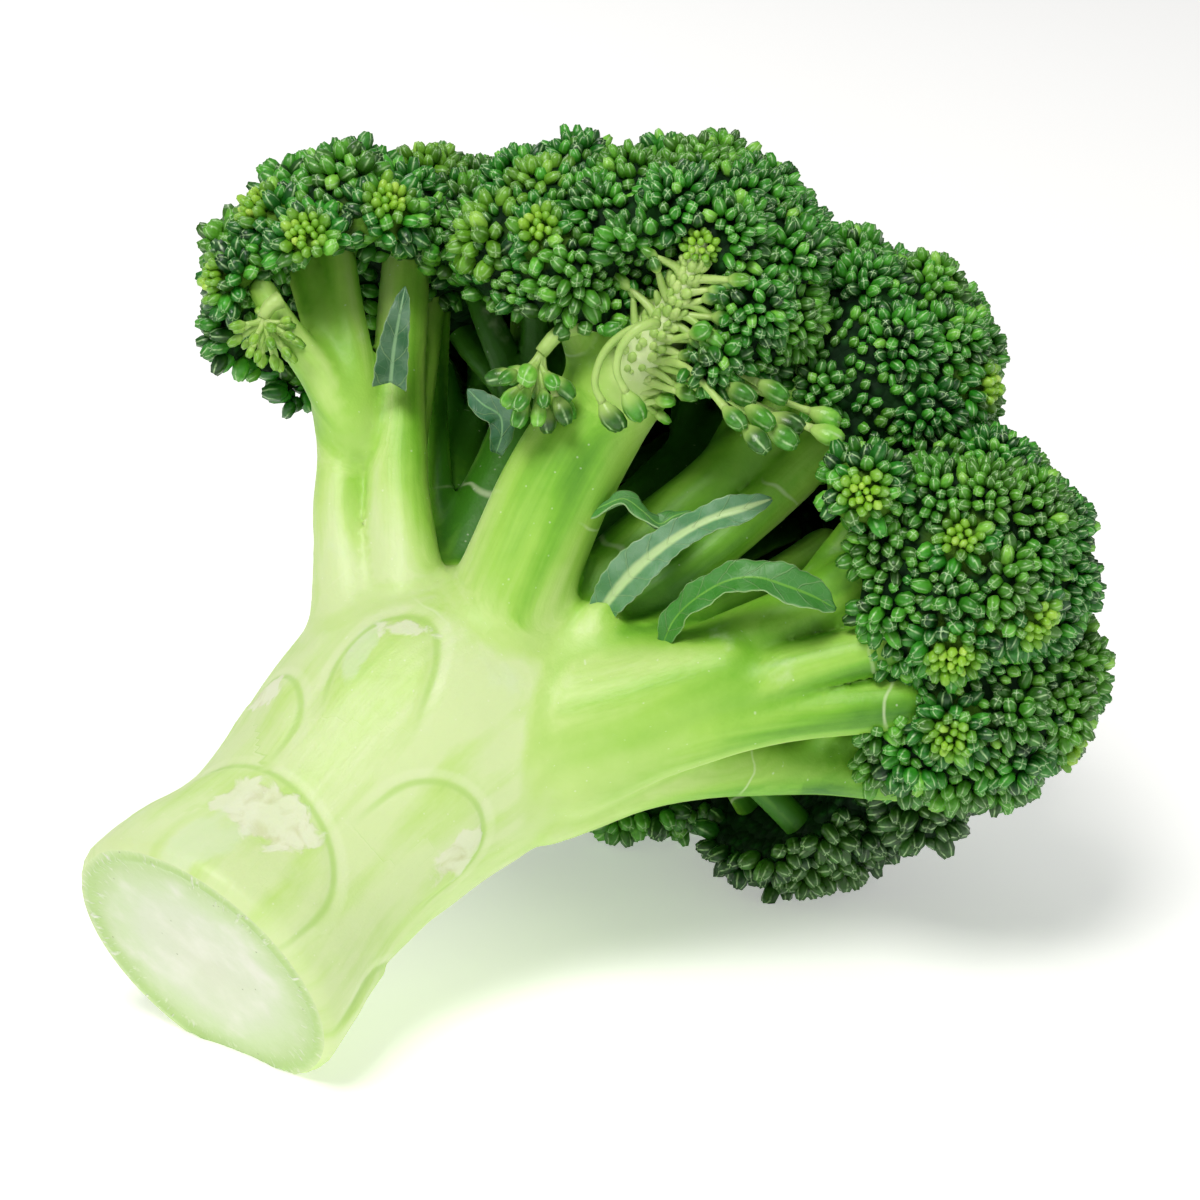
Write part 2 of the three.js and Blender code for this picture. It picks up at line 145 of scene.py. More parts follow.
def squared_gap(axes: Iterable[np.ndarray], centre: Point) -> np.ndarray:
    """Squared distances from a point to coordinates that broadcast together."""
    return sum((values - middle) ** 2 for values, middle in zip(axes, centre))


def outside(points: np.ndarray, centre: Point, radius: float) -> np.ndarray:
    """True for each point farther from a centre than a radius."""
    return np.linalg.norm(points - centre, axis=1) > radius


def tree_of(points: np.ndarray) -> KDTree:
    """Makes a search tree of points, one a row."""
    tree = KDTree(len(points))
    for number, point in enumerate(points.tolist()):
        tree.insert(point, number)
    tree.balance()
    return tree


def link(name: str, data: bpy.types.ID) -> bpy.types.Object:
    """Makes an object of some data and adds it to the scene."""
    made = bpy.data.objects.new(name, data)
    bpy.context.scene.collection.objects.link(made)
    return made


@dataclass(frozen=True)
class HeadFrame:
    """The head's own frame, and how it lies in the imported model.

    Attributes:
        lean: How far the upright head leans over about +Y, in degrees.
        lift: How far it is raised until its lowest crowns touch the ground, in millimetres.
        middle: The middle of its footprint before it is moved to the origin.
    """

    lean: float = 60.4
    lift: float = 14.6
    middle: tuple[float, float] = (70.328, -0.418)

    def turn(self, points: np.ndarray) -> np.ndarray:
        """Turns directions of the head's frame, one a row, into the model's."""
        c, s = math.cos(math.radians(self.lean)), math.sin(math.radians(self.lean))
        x, y, z = points.T
        return np.stack([c * x + s * z, y, c * z - s * x], axis=1)

    def height(self, points: np.ndarray) -> np.ndarray:
        """How high points of the head's frame are above the ground, in millimetres."""
        return self.turn(np.atleast_2d(points))[:, 2] + self.lift

    def place(self, points: np.ndarray) -> np.ndarray:
        """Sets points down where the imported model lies, pressed flat where they meet the ground.

        Args:
            points: Points of the head's frame in millimetres, one a row.

        Returns:
            Points of the model's frame in metres.
        """
        placed = self.turn(points) + [-self.middle[0], -self.middle[1], self.lift]
        placed[:, 2] = np.maximum(placed[:, 2], 0.0)
        return placed * MM


HEAD = HeadFrame()


@dataclass(frozen=True)
class Cut:
    """The knife's cut across the stalk.

    Attributes:
        middle: A point on it, in the stalk's middle.
        tilt: How far it strayed from square, in degrees.
        toward: The azimuth at which it leaves the stalk longest.
    """

    middle: tuple[float, float, float] = (-5.9, 3.3, -1.2)
    tilt: float = 10.5
    toward: float = 45.0

    @property
    def normal(self) -> np.ndarray:
        """The direction square to the cut, into the stalk."""
        tilt, toward = math.radians(self.tilt), math.radians(self.toward)
        level = math.sin(tilt)
        return np.array([level * math.cos(toward), level * math.sin(toward), math.cos(tilt)])


CUT = Cut()


class Line:
    """A smooth line through points, with two side directions carried along it."""

    def __init__(self, route: Iterable[Point], step: float) -> None:
        """Draws the line.

        Args:
            route: The points it goes through.
            step: How far apart its own points are.
        """
        self.points = self._smooth(np.array(list(route), float), step)
        gaps = np.linalg.norm(np.diff(self.points, axis=0), axis=1)
        self.lengths = np.concatenate([[0.0], np.cumsum(gaps)])
        self.shares = self.lengths / self.lengths[-1]
        self.along = unit(np.gradient(self.points, axis=0))
        self.side = self._carry(np.array([1.0, 0.0, 0.0]))
        self.up = np.cross(self.along, self.side)

    @staticmethod
    def _smooth(route: np.ndarray, step: float) -> np.ndarray:
        """Fills in a centripetal spline between points.

        Args:
            route: The points.
            step: How far apart the spline's own points are.

        Returns:
            The spline's points.
        """
        if len(route) == 2:
            count = max(2, int(np.linalg.norm(route[1] - route[0]) / step) + 1)
            return route[0] + np.linspace(0, 1, count)[:, None] * (route[1] - route[0])
        ends = [2 * route[0] - route[1], *route, 2 * route[-1] - route[-2]]
        found = []
        for p0, p1, p2, p3 in zip(ends, ends[1:], ends[2:], ends[3:]):
            g0, g1, g2 = (math.sqrt(np.linalg.norm(b - a)) for a, b in ((p0, p1), (p1, p2), (p2, p3)))
            m1 = (p2 - p1) + g1 * ((p1 - p0) / g0 - (p2 - p0) / (g0 + g1))
            m2 = (p2 - p1) + g1 * ((p3 - p2) / g2 - (p3 - p1) / (g1 + g2))
            count = max(1, round(np.linalg.norm(p2 - p1) / step))
            u = (np.arange(count) / count)[:, None]
            found.append(
                (2 * u**3 - 3 * u**2 + 1) * p1 + (u**3 - 2 * u**2 + u) * m1
                + (3 * u**2 - 2 * u**3) * p2 + (u**3 - u**2) * m2
            )
        return np.concatenate([*found, route[-1:]])

    def _carry(self, start: np.ndarray) -> np.ndarray:
        """Carries a side direction along the line without twisting it.

        Args:
            start: The direction to begin with.

        Returns:
            One direction for each of the line's points.
        """
        found = [start]
        for along in self.along:
            found.append(unit(found[-1] - along * found[-1].dot(along)))
        return np.array(found[1:])

    def radii(self, girth: Sequence[float]) -> np.ndarray:
        """Radii at the line's points, from radii evenly spaced along it."""
        return np.interp(self.shares, np.linspace(0, 1, len(girth)), girth)


def walls(rows: int, columns: int) -> np.ndarray:
    """Four-cornered faces between closed rows of points.

    Args:
        rows: How many rows there are.
        columns: How many points each row has.

    Returns:
        The faces.
    """
    here = np.arange(columns)
    start = np.arange(rows - 1)[:, None] * columns
    a, b = (start + here).ravel(), (start + (here + 1) % columns).ravel()
    return np.stack([a, b, b + columns, a + columns], axis=1)


def hull(rows: int, columns: int) -> list[np.ndarray]:
    """Faces around closed rows of points, with one more point in the middle of each end.

    Args:
        rows: How many rows there are.
        columns: How many points each row has.

    Returns:
        The four-cornered walls, and the three-cornered ends.
    """
    here = np.arange(columns)
    after = (here + 1) % columns
    end, bottom = (rows - 1) * columns, np.full(columns, rows * columns)
    ends = [np.stack([after, here, bottom], axis=1), np.stack([end + here, end + after, bottom + 1], axis=1)]
    return [walls(rows, columns), np.concatenate(ends)]


def tube(line: Line, radii: np.ndarray, sides: int) -> tuple[np.ndarray, list[np.ndarray]]:
    """A closed round tube along a line.

    Args:
        line: The tube's middle.
        radii: Its radius at each of the line's points.
        sides: How many sides it has.

    Returns:
        Its points, and its faces as arrays of four and of three corners.
    """
    turn = 2 * math.pi * np.arange(sides) / sides
    ring = np.cos(turn)[None, :, None] * line.side[:, None] + np.sin(turn)[None, :, None] * line.up[:, None]
    points = (line.points[:, None] + ring * radii[:, None, None]).reshape(-1, 3)
    return np.concatenate([points, line.points[:1], line.points[-1:]]), hull(len(line.points), sides)


class Draft:
    """Collects the points, faces and painted values of one piece, and makes it into an object."""

    def __init__(self, **values: int) -> None:
        """Starts an empty piece.

        Args:
            **values: The names of the values painted on its points, and 1 or 3 numbers each.
        """
        self.sizes = values
        self.points: list[np.ndarray] = []
        self.faces: list[tuple[np.ndarray, int]] = []
        self.values: dict[str, list[np.ndarray]] = {name: [] for name in values}
        self.sharp: list[np.ndarray] = []
        self.count = 0

    def add(
        self, points: np.ndarray, faces: Iterable[np.ndarray], finish: int = 0, **values: np.ndarray
    ) -> int:
        """Adds a patch of surface.

        Args:
            points: Its points in the head's frame.
            faces: Arrays of corner numbers, with three or four corners a row.
            finish: Which of the piece's materials it takes.
            **values: The painted values; those left out are zero.

        Returns:
            The number that its first point has in the piece.
        """
        start = self.count
        for corners in faces:
            if len(corners):
                self.faces.append((np.asarray(corners) + start, finish))
        for name, size in self.sizes.items():
            shape = (len(points),) if size == 1 else (len(points), size)
            self.values[name].append(np.broadcast_to(values.get(name, 0.0), shape).reshape(shape))
        self.points.append(points)
        self.count += len(points)
        return start

    def build(
        self, name: str, node: str, slot: Slot, materials: Sequence[bpy.types.Material]
    ) -> bpy.types.Object:
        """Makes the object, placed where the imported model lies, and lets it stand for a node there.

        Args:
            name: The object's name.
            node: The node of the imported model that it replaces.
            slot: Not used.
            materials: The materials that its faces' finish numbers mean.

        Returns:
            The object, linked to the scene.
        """
        mesh = bpy.data.meshes.new(name)
        points = HEAD.place(np.concatenate(self.points)).astype(np.float32)
        corners = np.concatenate([face.ravel() for face, _ in self.faces])
        sizes = np.concatenate([np.full(len(face), face.shape[1]) for face, _ in self.faces])
        finishes = np.concatenate([np.full(len(face), finish) for face, finish in self.faces])
        mesh.vertices.add(len(points))
        mesh.loops.add(len(corners))
        mesh.polygons.add(len(sizes))
        mesh.vertices.foreach_set("co", points.ravel())
        mesh.loops.foreach_set("vertex_index", corners.astype(np.int32))
        mesh.polygons.foreach_set("loop_start", (np.cumsum(sizes) - sizes).astype(np.int32))
        mesh.polygons.foreach_set("material_index", finishes.astype(np.int32))
        mesh.update(calc_edges=True)
        for value, size in self.sizes.items():
            kind = "FLOAT" if size == 1 else "FLOAT_VECTOR"
            layer = mesh.attributes.new(value, kind, "POINT")
            painted = np.concatenate(self.values[value]).astype(np.float32).ravel()
            layer.data.foreach_set("value" if size == 1 else "vector", painted)
        self._sharpen(mesh)
        for material in materials:
            mesh.materials.append(material)
        piece = link(name, mesh)
        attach(piece, "root")
        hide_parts(node)
        return piece

    def _sharpen(self, mesh: bpy.types.Mesh) -> None:
        """Marks the edges between the listed pairs of points as sharp.

        Args:
            mesh: The finished mesh.
        """
        mesh.shade_smooth()
        if not self.sharp:
            return
        ends = np.zeros(len(mesh.edges) * 2, np.int32)
        mesh.edges.foreach_get("vertices", ends)
        key = np.sort(ends.reshape(-1, 2), axis=1) @ [self.count, 1]
        wanted = np.sort(np.concatenate(self.sharp), axis=1) @ [self.count, 1]
        layer = mesh.attributes.get("sharp_edge") or mesh.attributes.new("sharp_edge", "BOOLEAN", "EDGE")
        layer.data.foreach_set("value", np.isin(key, wanted))


# ------------------------------------------------------------------------------- melted shapes


@dataclass
class Limb:
    """A round stem of changing thickness.

    Attributes:
        route: The points that its middle goes through.
        girth: Its radii, evenly spaced along it.
        blend: How softly it melts into what it grows from.
        shade: How much greener and darker than the others it is; deep inside, this is painted shade.
        step: How far apart its middle's points are.
    """

    route: Sequence[Point]
    girth: Sequence[float]
    blend: float = 4.0
    shade: float = 0.0
    step: float = 2.6

    def __post_init__(self) -> None:
        """Draws the limb's middle line."""
        self.line = Line(self.route, self.step)
        self.radius = self.line.radii(self.girth)
        reach = self.radius[:, None]
        self.low = (self.line.points - reach).min(axis=0)
        self.high = (self.line.points + reach).max(axis=0)

    def distance(self, axes: Sequence[np.ndarray]) -> np.ndarray:
        """How far places are from the limb's surface.

        Args:
            axes: The places' coordinates, which broadcast together.

        Returns:
            The distances, negative inside.
        """
        best = np.full(np.broadcast_shapes(*(values.shape for values in axes)), 1e3, np.float32)
        for a, b, ra, rb in zip(self.line.points, self.line.points[1:], self.radius, self.radius[1:]):
            d = b - a
            share = sum((values - start) * run for values, start, run in zip(axes, a, d)) / d.dot(d)
            share = np.clip(share, 0.0, 1.0)
            gap = sum((values - start - share * run) ** 2 for values, start, run in zip(axes, a, d))
            np.minimum(best, np.sqrt(gap) - (ra + share * (rb - ra)), out=best)
        return best

    def fibres(self, points: np.ndarray) -> tuple[np.ndarray, np.ndarray]:
        """How the limb's fibres run past points.

        Args:
            points: Points on or near its surface.

        Returns:
            The distance of each point, and its place across and along the fibres, how green its stripe is
            and the limb's shade.
        """
        gaps = np.linalg.norm(points[:, None] - self.line.points[None], axis=2) - self.radius
        nearest = gaps.argmin(axis=1)
        away = points - self.line.points[nearest]
        start = self.line.points[0]
        across_side = (away * self.line.side[nearest]).sum(axis=1) + start[0]
        across_up = (away * self.line.up[nearest]).sum(axis=1) + start[1]
        beyond = (away * self.line.along[nearest]).sum(axis=1)
        along = self.line.lengths[nearest] + beyond + np.linalg.norm(start - CUT.middle)
        turn = np.arctan2(across_up - start[1], across_side - start[0])
        stripe = np.sin(2.0 * turn + start[0] + 0.03 * along)
        shade = np.full(len(points), self.shade)
        return gaps.min(axis=1), np.stack([across_side, across_up, along, stripe, shade], axis=1)


class Grid:
    """Distances to a shape on a grid of points, and the surface drawn through them."""

    def __init__(self, low: np.ndarray, high: np.ndarray, cell: float) -> None:
        """Lays out the grid with everything outside.

        Args:
            low: The lowest corner that the shape reaches.
            high: The highest corner.
            cell: The grid's spacing.
        """
        self.cell = cell
        self.low = np.asarray(low) - 2.5 * cell
        self.shape = np.ceil((np.asarray(high) - self.low) / cell).astype(int) + 3
        self.field = np.full(self.shape, 50.0, np.float32)

    def window(self, low: np.ndarray, high: np.ndarray) -> tuple[tuple[slice, ...], list[np.ndarray]]:
        """The part of the grid inside a box.

        Args:
            low: The box's lowest corner.
            high: Its highest corner.

        Returns:
            Slices of the grid, and coordinates along its three axes that broadcast together.
        """
        first = np.clip(np.floor((low - self.low) / self.cell).astype(int), 0, self.shape - 1)
        last = np.clip(np.ceil((high - self.low) / self.cell).astype(int) + 1, 1, self.shape)
        slices = tuple(slice(f, t) for f, t in zip(first, last))
        axes = []
        for axis in range(3):
            values = self.low[axis] + self.cell * np.arange(first[axis], last[axis])
            axes.append(values.astype(np.float32).reshape([-1 if i == axis else 1 for i in range(3)]))
        return slices, axes

    def melt(self, limb: Limb) -> None:
        """Adds a limb, melted into what is there."""
        slices, axes = self.window(limb.low - limb.blend - 1, limb.high + limb.blend + 1)
        self.field[slices] = soft_min(self.field[slices], limb.distance(axes), limb.blend)

    def ball(self, centre: np.ndarray, radius: float, blend: float) -> None:
        """Adds a ball, melted into what is there."""
        slices, axes = self.window(centre - radius - blend - 1, centre + radius + blend + 1)
        gap = np.sqrt(squared_gap(axes, centre)) - radius
        self.field[slices] = soft_min(self.field[slices], gap, blend)

    @property
    def axes(self) -> list[np.ndarray]:
        """Coordinates along the whole grid's three axes, that broadcast together."""
        return self.window(self.low, self.low + self.cell * self.shape)[1]

    def take_away(self, level: np.ndarray) -> None:
        """Leaves only what lies where a level is negative."""
        np.maximum(self.field, level, out=self.field)

    def surface(self, smoothing: int = 4) -> tuple[np.ndarray, np.ndarray]:
        """Draws the surface where the distance is zero.

        Args:
            smoothing: How many times its points are evened out.

        Returns:
            The surface's points, and its faces with four corners each.
        """
        inside = self.field < 0
        total = np.zeros([*(n - 1 for n in self.shape), 4], np.float32)
        for axis in range(3):
            self._crossings(self.field, inside, axis, total)
        used = total[..., 3] > 0
        number = np.full(used.shape, -1, np.int64)
        number[used] = np.arange(used.sum())
        where = np.argwhere(used)
        points = self.low + self.cell * (where + total[used][:, :3] / total[used][:, 3:])
        faces = np.concatenate([self._quads(inside, number, axis) for axis in range(3)])
        return even_out(points, faces, smoothing), faces

    @staticmethod
    def _layers(axis: int) -> tuple[tuple[slice, ...], tuple[slice, ...]]:
        """Slices that pair each layer of the grid along an axis with the next one."""
        near, far = [slice(None)] * 3, [slice(None)] * 3
        near[axis], far[axis] = slice(0, -1), slice(1, None)
        return tuple(near), tuple(far)

    def _crossings(self, field: np.ndarray, inside: np.ndarray, axis: int, total: np.ndarray) -> None:
        """Adds where the surface crosses the grid's edges along one axis.

        Args:
            field: The distances.
            inside: Where they are negative.
            axis: The axis.
            total: For each cell, the sum of its crossings' places and their number.
        """
        near, far = self._layers(axis)
        crossed = inside[near] != inside[far]
        share = np.where(crossed, field[near] / np.where(crossed, field[near] - field[far], 1.0), 0.0)
        others = [i for i in range(3) if i != axis]
        for steps in ((0, 0), (0, 1), (1, 0), (1, 1)):
            part = [slice(None)] * 3
            for other, step in zip(others, steps):
                part[other] = slice(step, step + total.shape[other])
            hit = crossed[tuple(part)]
            total[..., axis] += share[tuple(part)]
            for other, step in zip(others, steps):
                total[..., other] += hit * float(step)
            total[..., 3] += hit

    def _quads(self, inside: np.ndarray, number: np.ndarray, axis: int) -> np.ndarray:
        """Makes the faces around the grid's crossed edges along one axis.

        Args:
            inside: Where the distances are negative.
            number: The number of each cell's point.
            axis: The axis.

        Returns:
            The faces, four corners each.
        """
        first, second = (axis + 1) % 3, (axis + 2) % 3
        near, far = self._layers(axis)
        place = np.argwhere(inside[near] != inside[far])
        inner = (place[:, first] > 0) & (place[:, second] > 0)
        inner &= (place[:, first] < number.shape[first]) & (place[:, second] < number.shape[second])
        place = place[inner]
        corners = []
        for back_first, back_second in ((0, 0), (1, 0), (1, 1), (0, 1)):
            cell = place.copy()
            cell[:, first] -= back_first
            cell[:, second] -= back_second
            corners.append(number[tuple(cell.T)])
        quads = np.stack(corners, axis=1)
        return np.where(inside[tuple(place.T)][:, None], quads, quads[:, ::-1])


def even_out(points: np.ndarray, faces: np.ndarray, rounds: int) -> np.ndarray:
    """Evens out a surface without shrinking it.

    Args:
        points: Its points.
        faces: Its faces, four corners each.
        rounds: How many times it is done.

    Returns:
        The points in their new places.
    """
    a, b = faces.ravel(), np.roll(faces, -1, axis=1).ravel()
    ends = np.concatenate([a, b])
    others = np.concatenate([b, a])
    count = np.bincount(ends, minlength=len(points))[:, None]
    for weight in (0.55, -0.57) * rounds:
        total = np.stack([np.bincount(ends, points[others, axis], len(points)) for axis in range(3)], axis=1)
        points = points + weight * (total / np.maximum(count, 1) - points)
    return points


def normals_of(points: np.ndarray, faces: np.ndarray) -> np.ndarray:
    """The directions in which a surface looks.

    Args:
        points: Its points.
        faces: Its faces, four corners each.

    Returns:
        One unit vector for each point.
    """
    crossed = np.cross(points[faces[:, 2]] - points[faces[:, 0]], points[faces[:, 3]] - points[faces[:, 1]])
    total = np.zeros_like(points)
    for corner in range(4):
        for axis in range(3):
            total[:, axis] += np.bincount(faces[:, corner], crossed[:, axis], len(points))
    return unit(total)


# ------------------------------------------------------------------------------- finishes


def paint(code: str) -> tuple[float, float, float, float]:
    """Turns a screen colour such as "8fbf50" into the renderer's linear one."""
    shares = [int(code[i : i + 2], 16) / 255 for i in (0, 2, 4)]
    linear = [c / 12.92 if c <= 0.04045 else ((c + 0.055) / 1.055) ** 2.4 for c in shares]
    return (*linear, 1.0)


class Wire:
    """A number, a vector or a colour on its way from one node to others."""

    def __init__(self, pen: "Pen", socket: bpy.types.NodeSocket) -> None:
        """Notes the pen that draws it and the socket that it leaves from."""
        self.pen = pen
        self.socket = socket

    def __add__(self, other: object) -> "Wire":
        """Adds a number."""
        return self.pen.maths("ADD", self, other)

    def __sub__(self, other: object) -> "Wire":
        """Takes a number away."""
        return self.pen.maths("SUBTRACT", self, other)

    def __rsub__(self, other: object) -> "Wire":
        """Takes this away from a number."""
        return self.pen.maths("SUBTRACT", other, self)

    def __mul__(self, other: object) -> "Wire":
        """Multiplies by a number."""
        return self.pen.maths("MULTIPLY", self, other)

    def __abs__(self) -> "Wire":
        """Drops the sign."""
        return self.pen.maths("ABSOLUTE", self)


class Pen:
    """Draws the nodes of one material."""

    def __init__(self, name: str) -> None:
        """Starts a material with only its shader and output."""
        self.material = bpy.data.materials.new(name)
        self.material.use_nodes = True
        self.tree = self.material.node_tree
        self.shader = self.tree.nodes["Principled BSDF"]

    def put(self, socket: bpy.types.NodeSocket, value: object) -> None:
        """Links a socket to a wire, or sets it to a plain value."""
        if isinstance(value, Wire):
            self.tree.links.new(value.socket, socket)
        else:
            socket.default_value = value

    def node(
        self, kind: str, inputs: dict[object, object], output: str | int = 0, **settings: object
    ) -> Wire:
        """Adds a node.

        Args:
            kind: Its type, without the ShaderNode in front.
            inputs: What goes into its sockets, by their names or numbers.
            output: The name or number of the socket that is used.
            **settings: Its own properties.

        Returns:
            What comes out of it.
        """
        made = self.tree.nodes.new("ShaderNode" + kind)
        for name, value in settings.items():
            setattr(made, name, value)
        for name, value in inputs.items():
            self.put(made.inputs[name], value)
        return Wire(self, made.outputs[output])

    def value(self, name: str) -> Wire:
        """A number painted on the mesh."""
        return self.node("Attribute", {}, "Fac", attribute_name=name)

    def vector(self, name: str) -> Wire:
        """Three numbers painted on the mesh."""
        return self.node("Attribute", {}, "Vector", attribute_name=name)

    def place(self) -> Wire:
        """The place on the piece, in metres."""
        return self.node("TexCoord", {}, "Object")

    def split(self, vector: Wire) -> tuple[Wire, ...]:
        """The three numbers of a vector."""
        first = self.node("SeparateXYZ", {0: vector})
        return tuple(Wire(self, socket) for socket in first.socket.node.outputs)

    def maths(self, operation: str, first: object, second: object = 0.0) -> Wire:
        """Works out one number from two."""
        return self.node("Math", {0: first, 1: second}, operation=operation)

    def stretch(self, vector: Wire, factors: Point) -> Wire:
        """Scales a vector along its three axes."""
        return self.node("VectorMath", {0: vector, 1: tuple(factors)}, operation="MULTIPLY")

    def noise(self, vector: Wire, scale: float, detail: float = 2.0, warp: float = 0.0) -> Wire:
        """Soft noise of about 0 to 1."""
        inputs = {"Vector": vector, "Scale": scale, "Detail": detail, "Distortion": warp}
        return self.node("TexNoise", inputs, "Fac")

    def cells(self, vector: Wire, scale: float, feature: str = "F1") -> Wire:
        """Distances to the middles of small cells, or to their edges."""
        return self.node("TexVoronoi", {"Vector": vector, "Scale": scale}, "Distance", feature=feature)

    def rise(self, value: object, low: float, high: float) -> Wire:
        """Rises smoothly from 0 at low to 1 at high, or falls if low is the larger."""
        inputs = {"Value": value, "From Min": low, "From Max": high}
        return self.node("MapRange", inputs, "Result", interpolation_type="SMOOTHSTEP")

    def ramp(self, value: Wire, stops: Shades) -> Wire:
        """Runs through colours.

        Args:
            value: Where along the colours.
            stops: The colours, each with its place from 0 to 1.

        Returns:
            The colour.
        """
        made = self.node("ValToRGB", {0: value}, "Color")
        elements = made.socket.node.color_ramp.elements
        while len(elements) < len(stops):
            elements.new(0.5)
        for element, (place, code) in zip(elements, stops):
            element.position = place
            element.color = paint(code)
        return made

    def mix(self, share: object, first: object, second: object) -> Wire:
        """Mixes two colours, given as wires or as screen colours."""
        first, second = (paint(colour) if isinstance(colour, str) else colour for colour in (first, second))
        return self.node("Mix", {0: share, 6: first, 7: second}, 2, data_type="RGBA", clamp_factor=True)

    def coats(self, colour: Wire, *coats: tuple[Wire, object]) -> Wire:
        """Lays further colours over a first one.

        Args:
            colour: The first colour.
            *coats: How much of each further one there is, and the colour, the lowest first.

        Returns:
            The colour on top.
        """
        for share, over in coats:
            colour = self.mix(share, colour, over)
        return colour

    def blend(self, share: object, first: object, second: object) -> Wire:
        """Mixes two numbers."""
        return self.node("Mix", {0: share, 2: first, 3: second}, clamp_factor=True)

    def relief(self, *layers: tuple[Wire, float]) -> Wire:
        """Turns heights of 0 to 1 into relief.

        Args:
            *layers: The heights, each with its depth in millimetres, the lowest layer first.

        Returns:
            The relief, for a shader.
        """
        under: dict[object, object] = {}
        for height, depth in layers:
            inputs = {"Strength": 1.0, "Distance": depth * MM, "Height": height, **under}
            under = {"Normal": self.node("Bump", inputs, "Normal")}
        return under["Normal"]

    def finish(self, colour: object, roughness: object, **inputs: object) -> bpy.types.Material:
        """Feeds the shader.

        Args:
            colour: The base colour.
            roughness: The roughness.
            **inputs: What goes into its other sockets, by their names with _ for a space.

        Returns:
            The finished material.
        """
        inputs = {"Base_Color": colour, "Roughness": roughness, **inputs}
        for name, value in inputs.items():
            self.put(self.shader.inputs[name.replace("_", " ")], value)
        return self.material


@dataclass(frozen=True)
class StemSkin:
    """The waxy skin of the stalk and its branches.

    It reads three values from the mesh: fibre, the place across and along the fibres in millimetres;
    scar, the distance to a leaf scar's edge, how clear that edge is and the distance to torn tissue;
    and skin, how clear a node line is, how much bloom there is and how green and dark the skin is,
    which takes in painted shade deep inside the head.
    """

    name: str = "stem_skin"
    greens: Shades = ((0.0, "d9ebac"), (0.25, "c7e587"), (0.5, "a6d658"), (0.72, "7fbe34"), (1.0, "3f8018"))
    bloom: str = "dcecc4"
    scar_line: str = "b4da72"
    lip: str = "f0f8d4"
    node_line: str = "e4f2c4"
    speck: str = "f4f8e4"
    torn: tuple[str, str] = ("ecefd6", "d3d3ab")

    def material(self) -> bpy.types.Material:
        """Draws the material.

        Returns:
            The material.
        """
        pen = Pen(self.name)
        fibre, pure, place = pen.vector("fibre"), pen.value("pure"), pen.place()
        edge, clear, torn = pen.split(pen.vector("scar"))
        node, bloom, green = pen.split(pen.vector("skin"))
        streak = pen.noise(pen.stretch(fibre, (0.2, 0.2, 0.014)), 1.0)
        thread = pen.noise(pen.stretch(fibre, (1.5, 1.5, 0.05)), 1.0)
        cloud, grain, mottle = pen.noise(place, 55.0), pen.noise(place, 2400.0), pen.noise(place, 420.0, 3.0)
        depth = (streak - 0.5) * pen.blend(pure, 0.0, 0.85)
        depth += (thread - 0.5) * pen.blend(pure, 0.0, 0.13)
        depth += (cloud - 0.5) * 0.3
        depth += (mottle - 0.5) * 0.1
        depth += pen.rise(edge, 0.6, -1.2) * clear * 0.1
        waxy = pen.rise(bloom + (mottle - 0.5) * 0.35, 0.46, 0.68)
        along = pen.split(fibre)[2]
        arc = pen.rise(pen.maths("PINGPONG", along + cloud * 22.0, 13.0), 0.5, 0.05)
        flecks = pen.noise(place, 260.0, 5.0, 0.6)
        ripped = pen.rise(torn + (flecks - 0.5) * 8.0, 0.5, -0.7)
        colour = pen.coats(
            pen.ramp(green + depth, self.greens),
            (waxy * 0.55, self.bloom),
            (pen.rise(abs(edge), 0.8, 0.1) * clear * 0.7, self.scar_line),
            (pen.rise(abs(edge - 1.4), 1.0, 0.2) * clear * 0.22, self.lip),
            (arc * node * 0.5, self.node_line),
            (ripped * 0.75, pen.mix(pen.rise(flecks, 0.46, 0.72), *self.torn)),
            (pen.rise(pen.cells(fibre, 0.42), 0.1, 0.03) * 0.35, self.speck),
        )
        relief = pen.relief(
            (thread * pure, 0.06), (grain, 0.03), (mottle, 0.12), (flecks * ripped, 0.2), (waxy, 0.03)
        )
        return pen.finish(
            colour, pen.blend(ripped, pen.blend(waxy, 0.46, 0.55), 0.65), Normal=relief,
            Specular_IOR_Level=0.42, Subsurface_Weight=0.16, Subsurface_Radius=(0.7, 1.0, 0.35),
            Subsurface_Scale=0.003,
        )


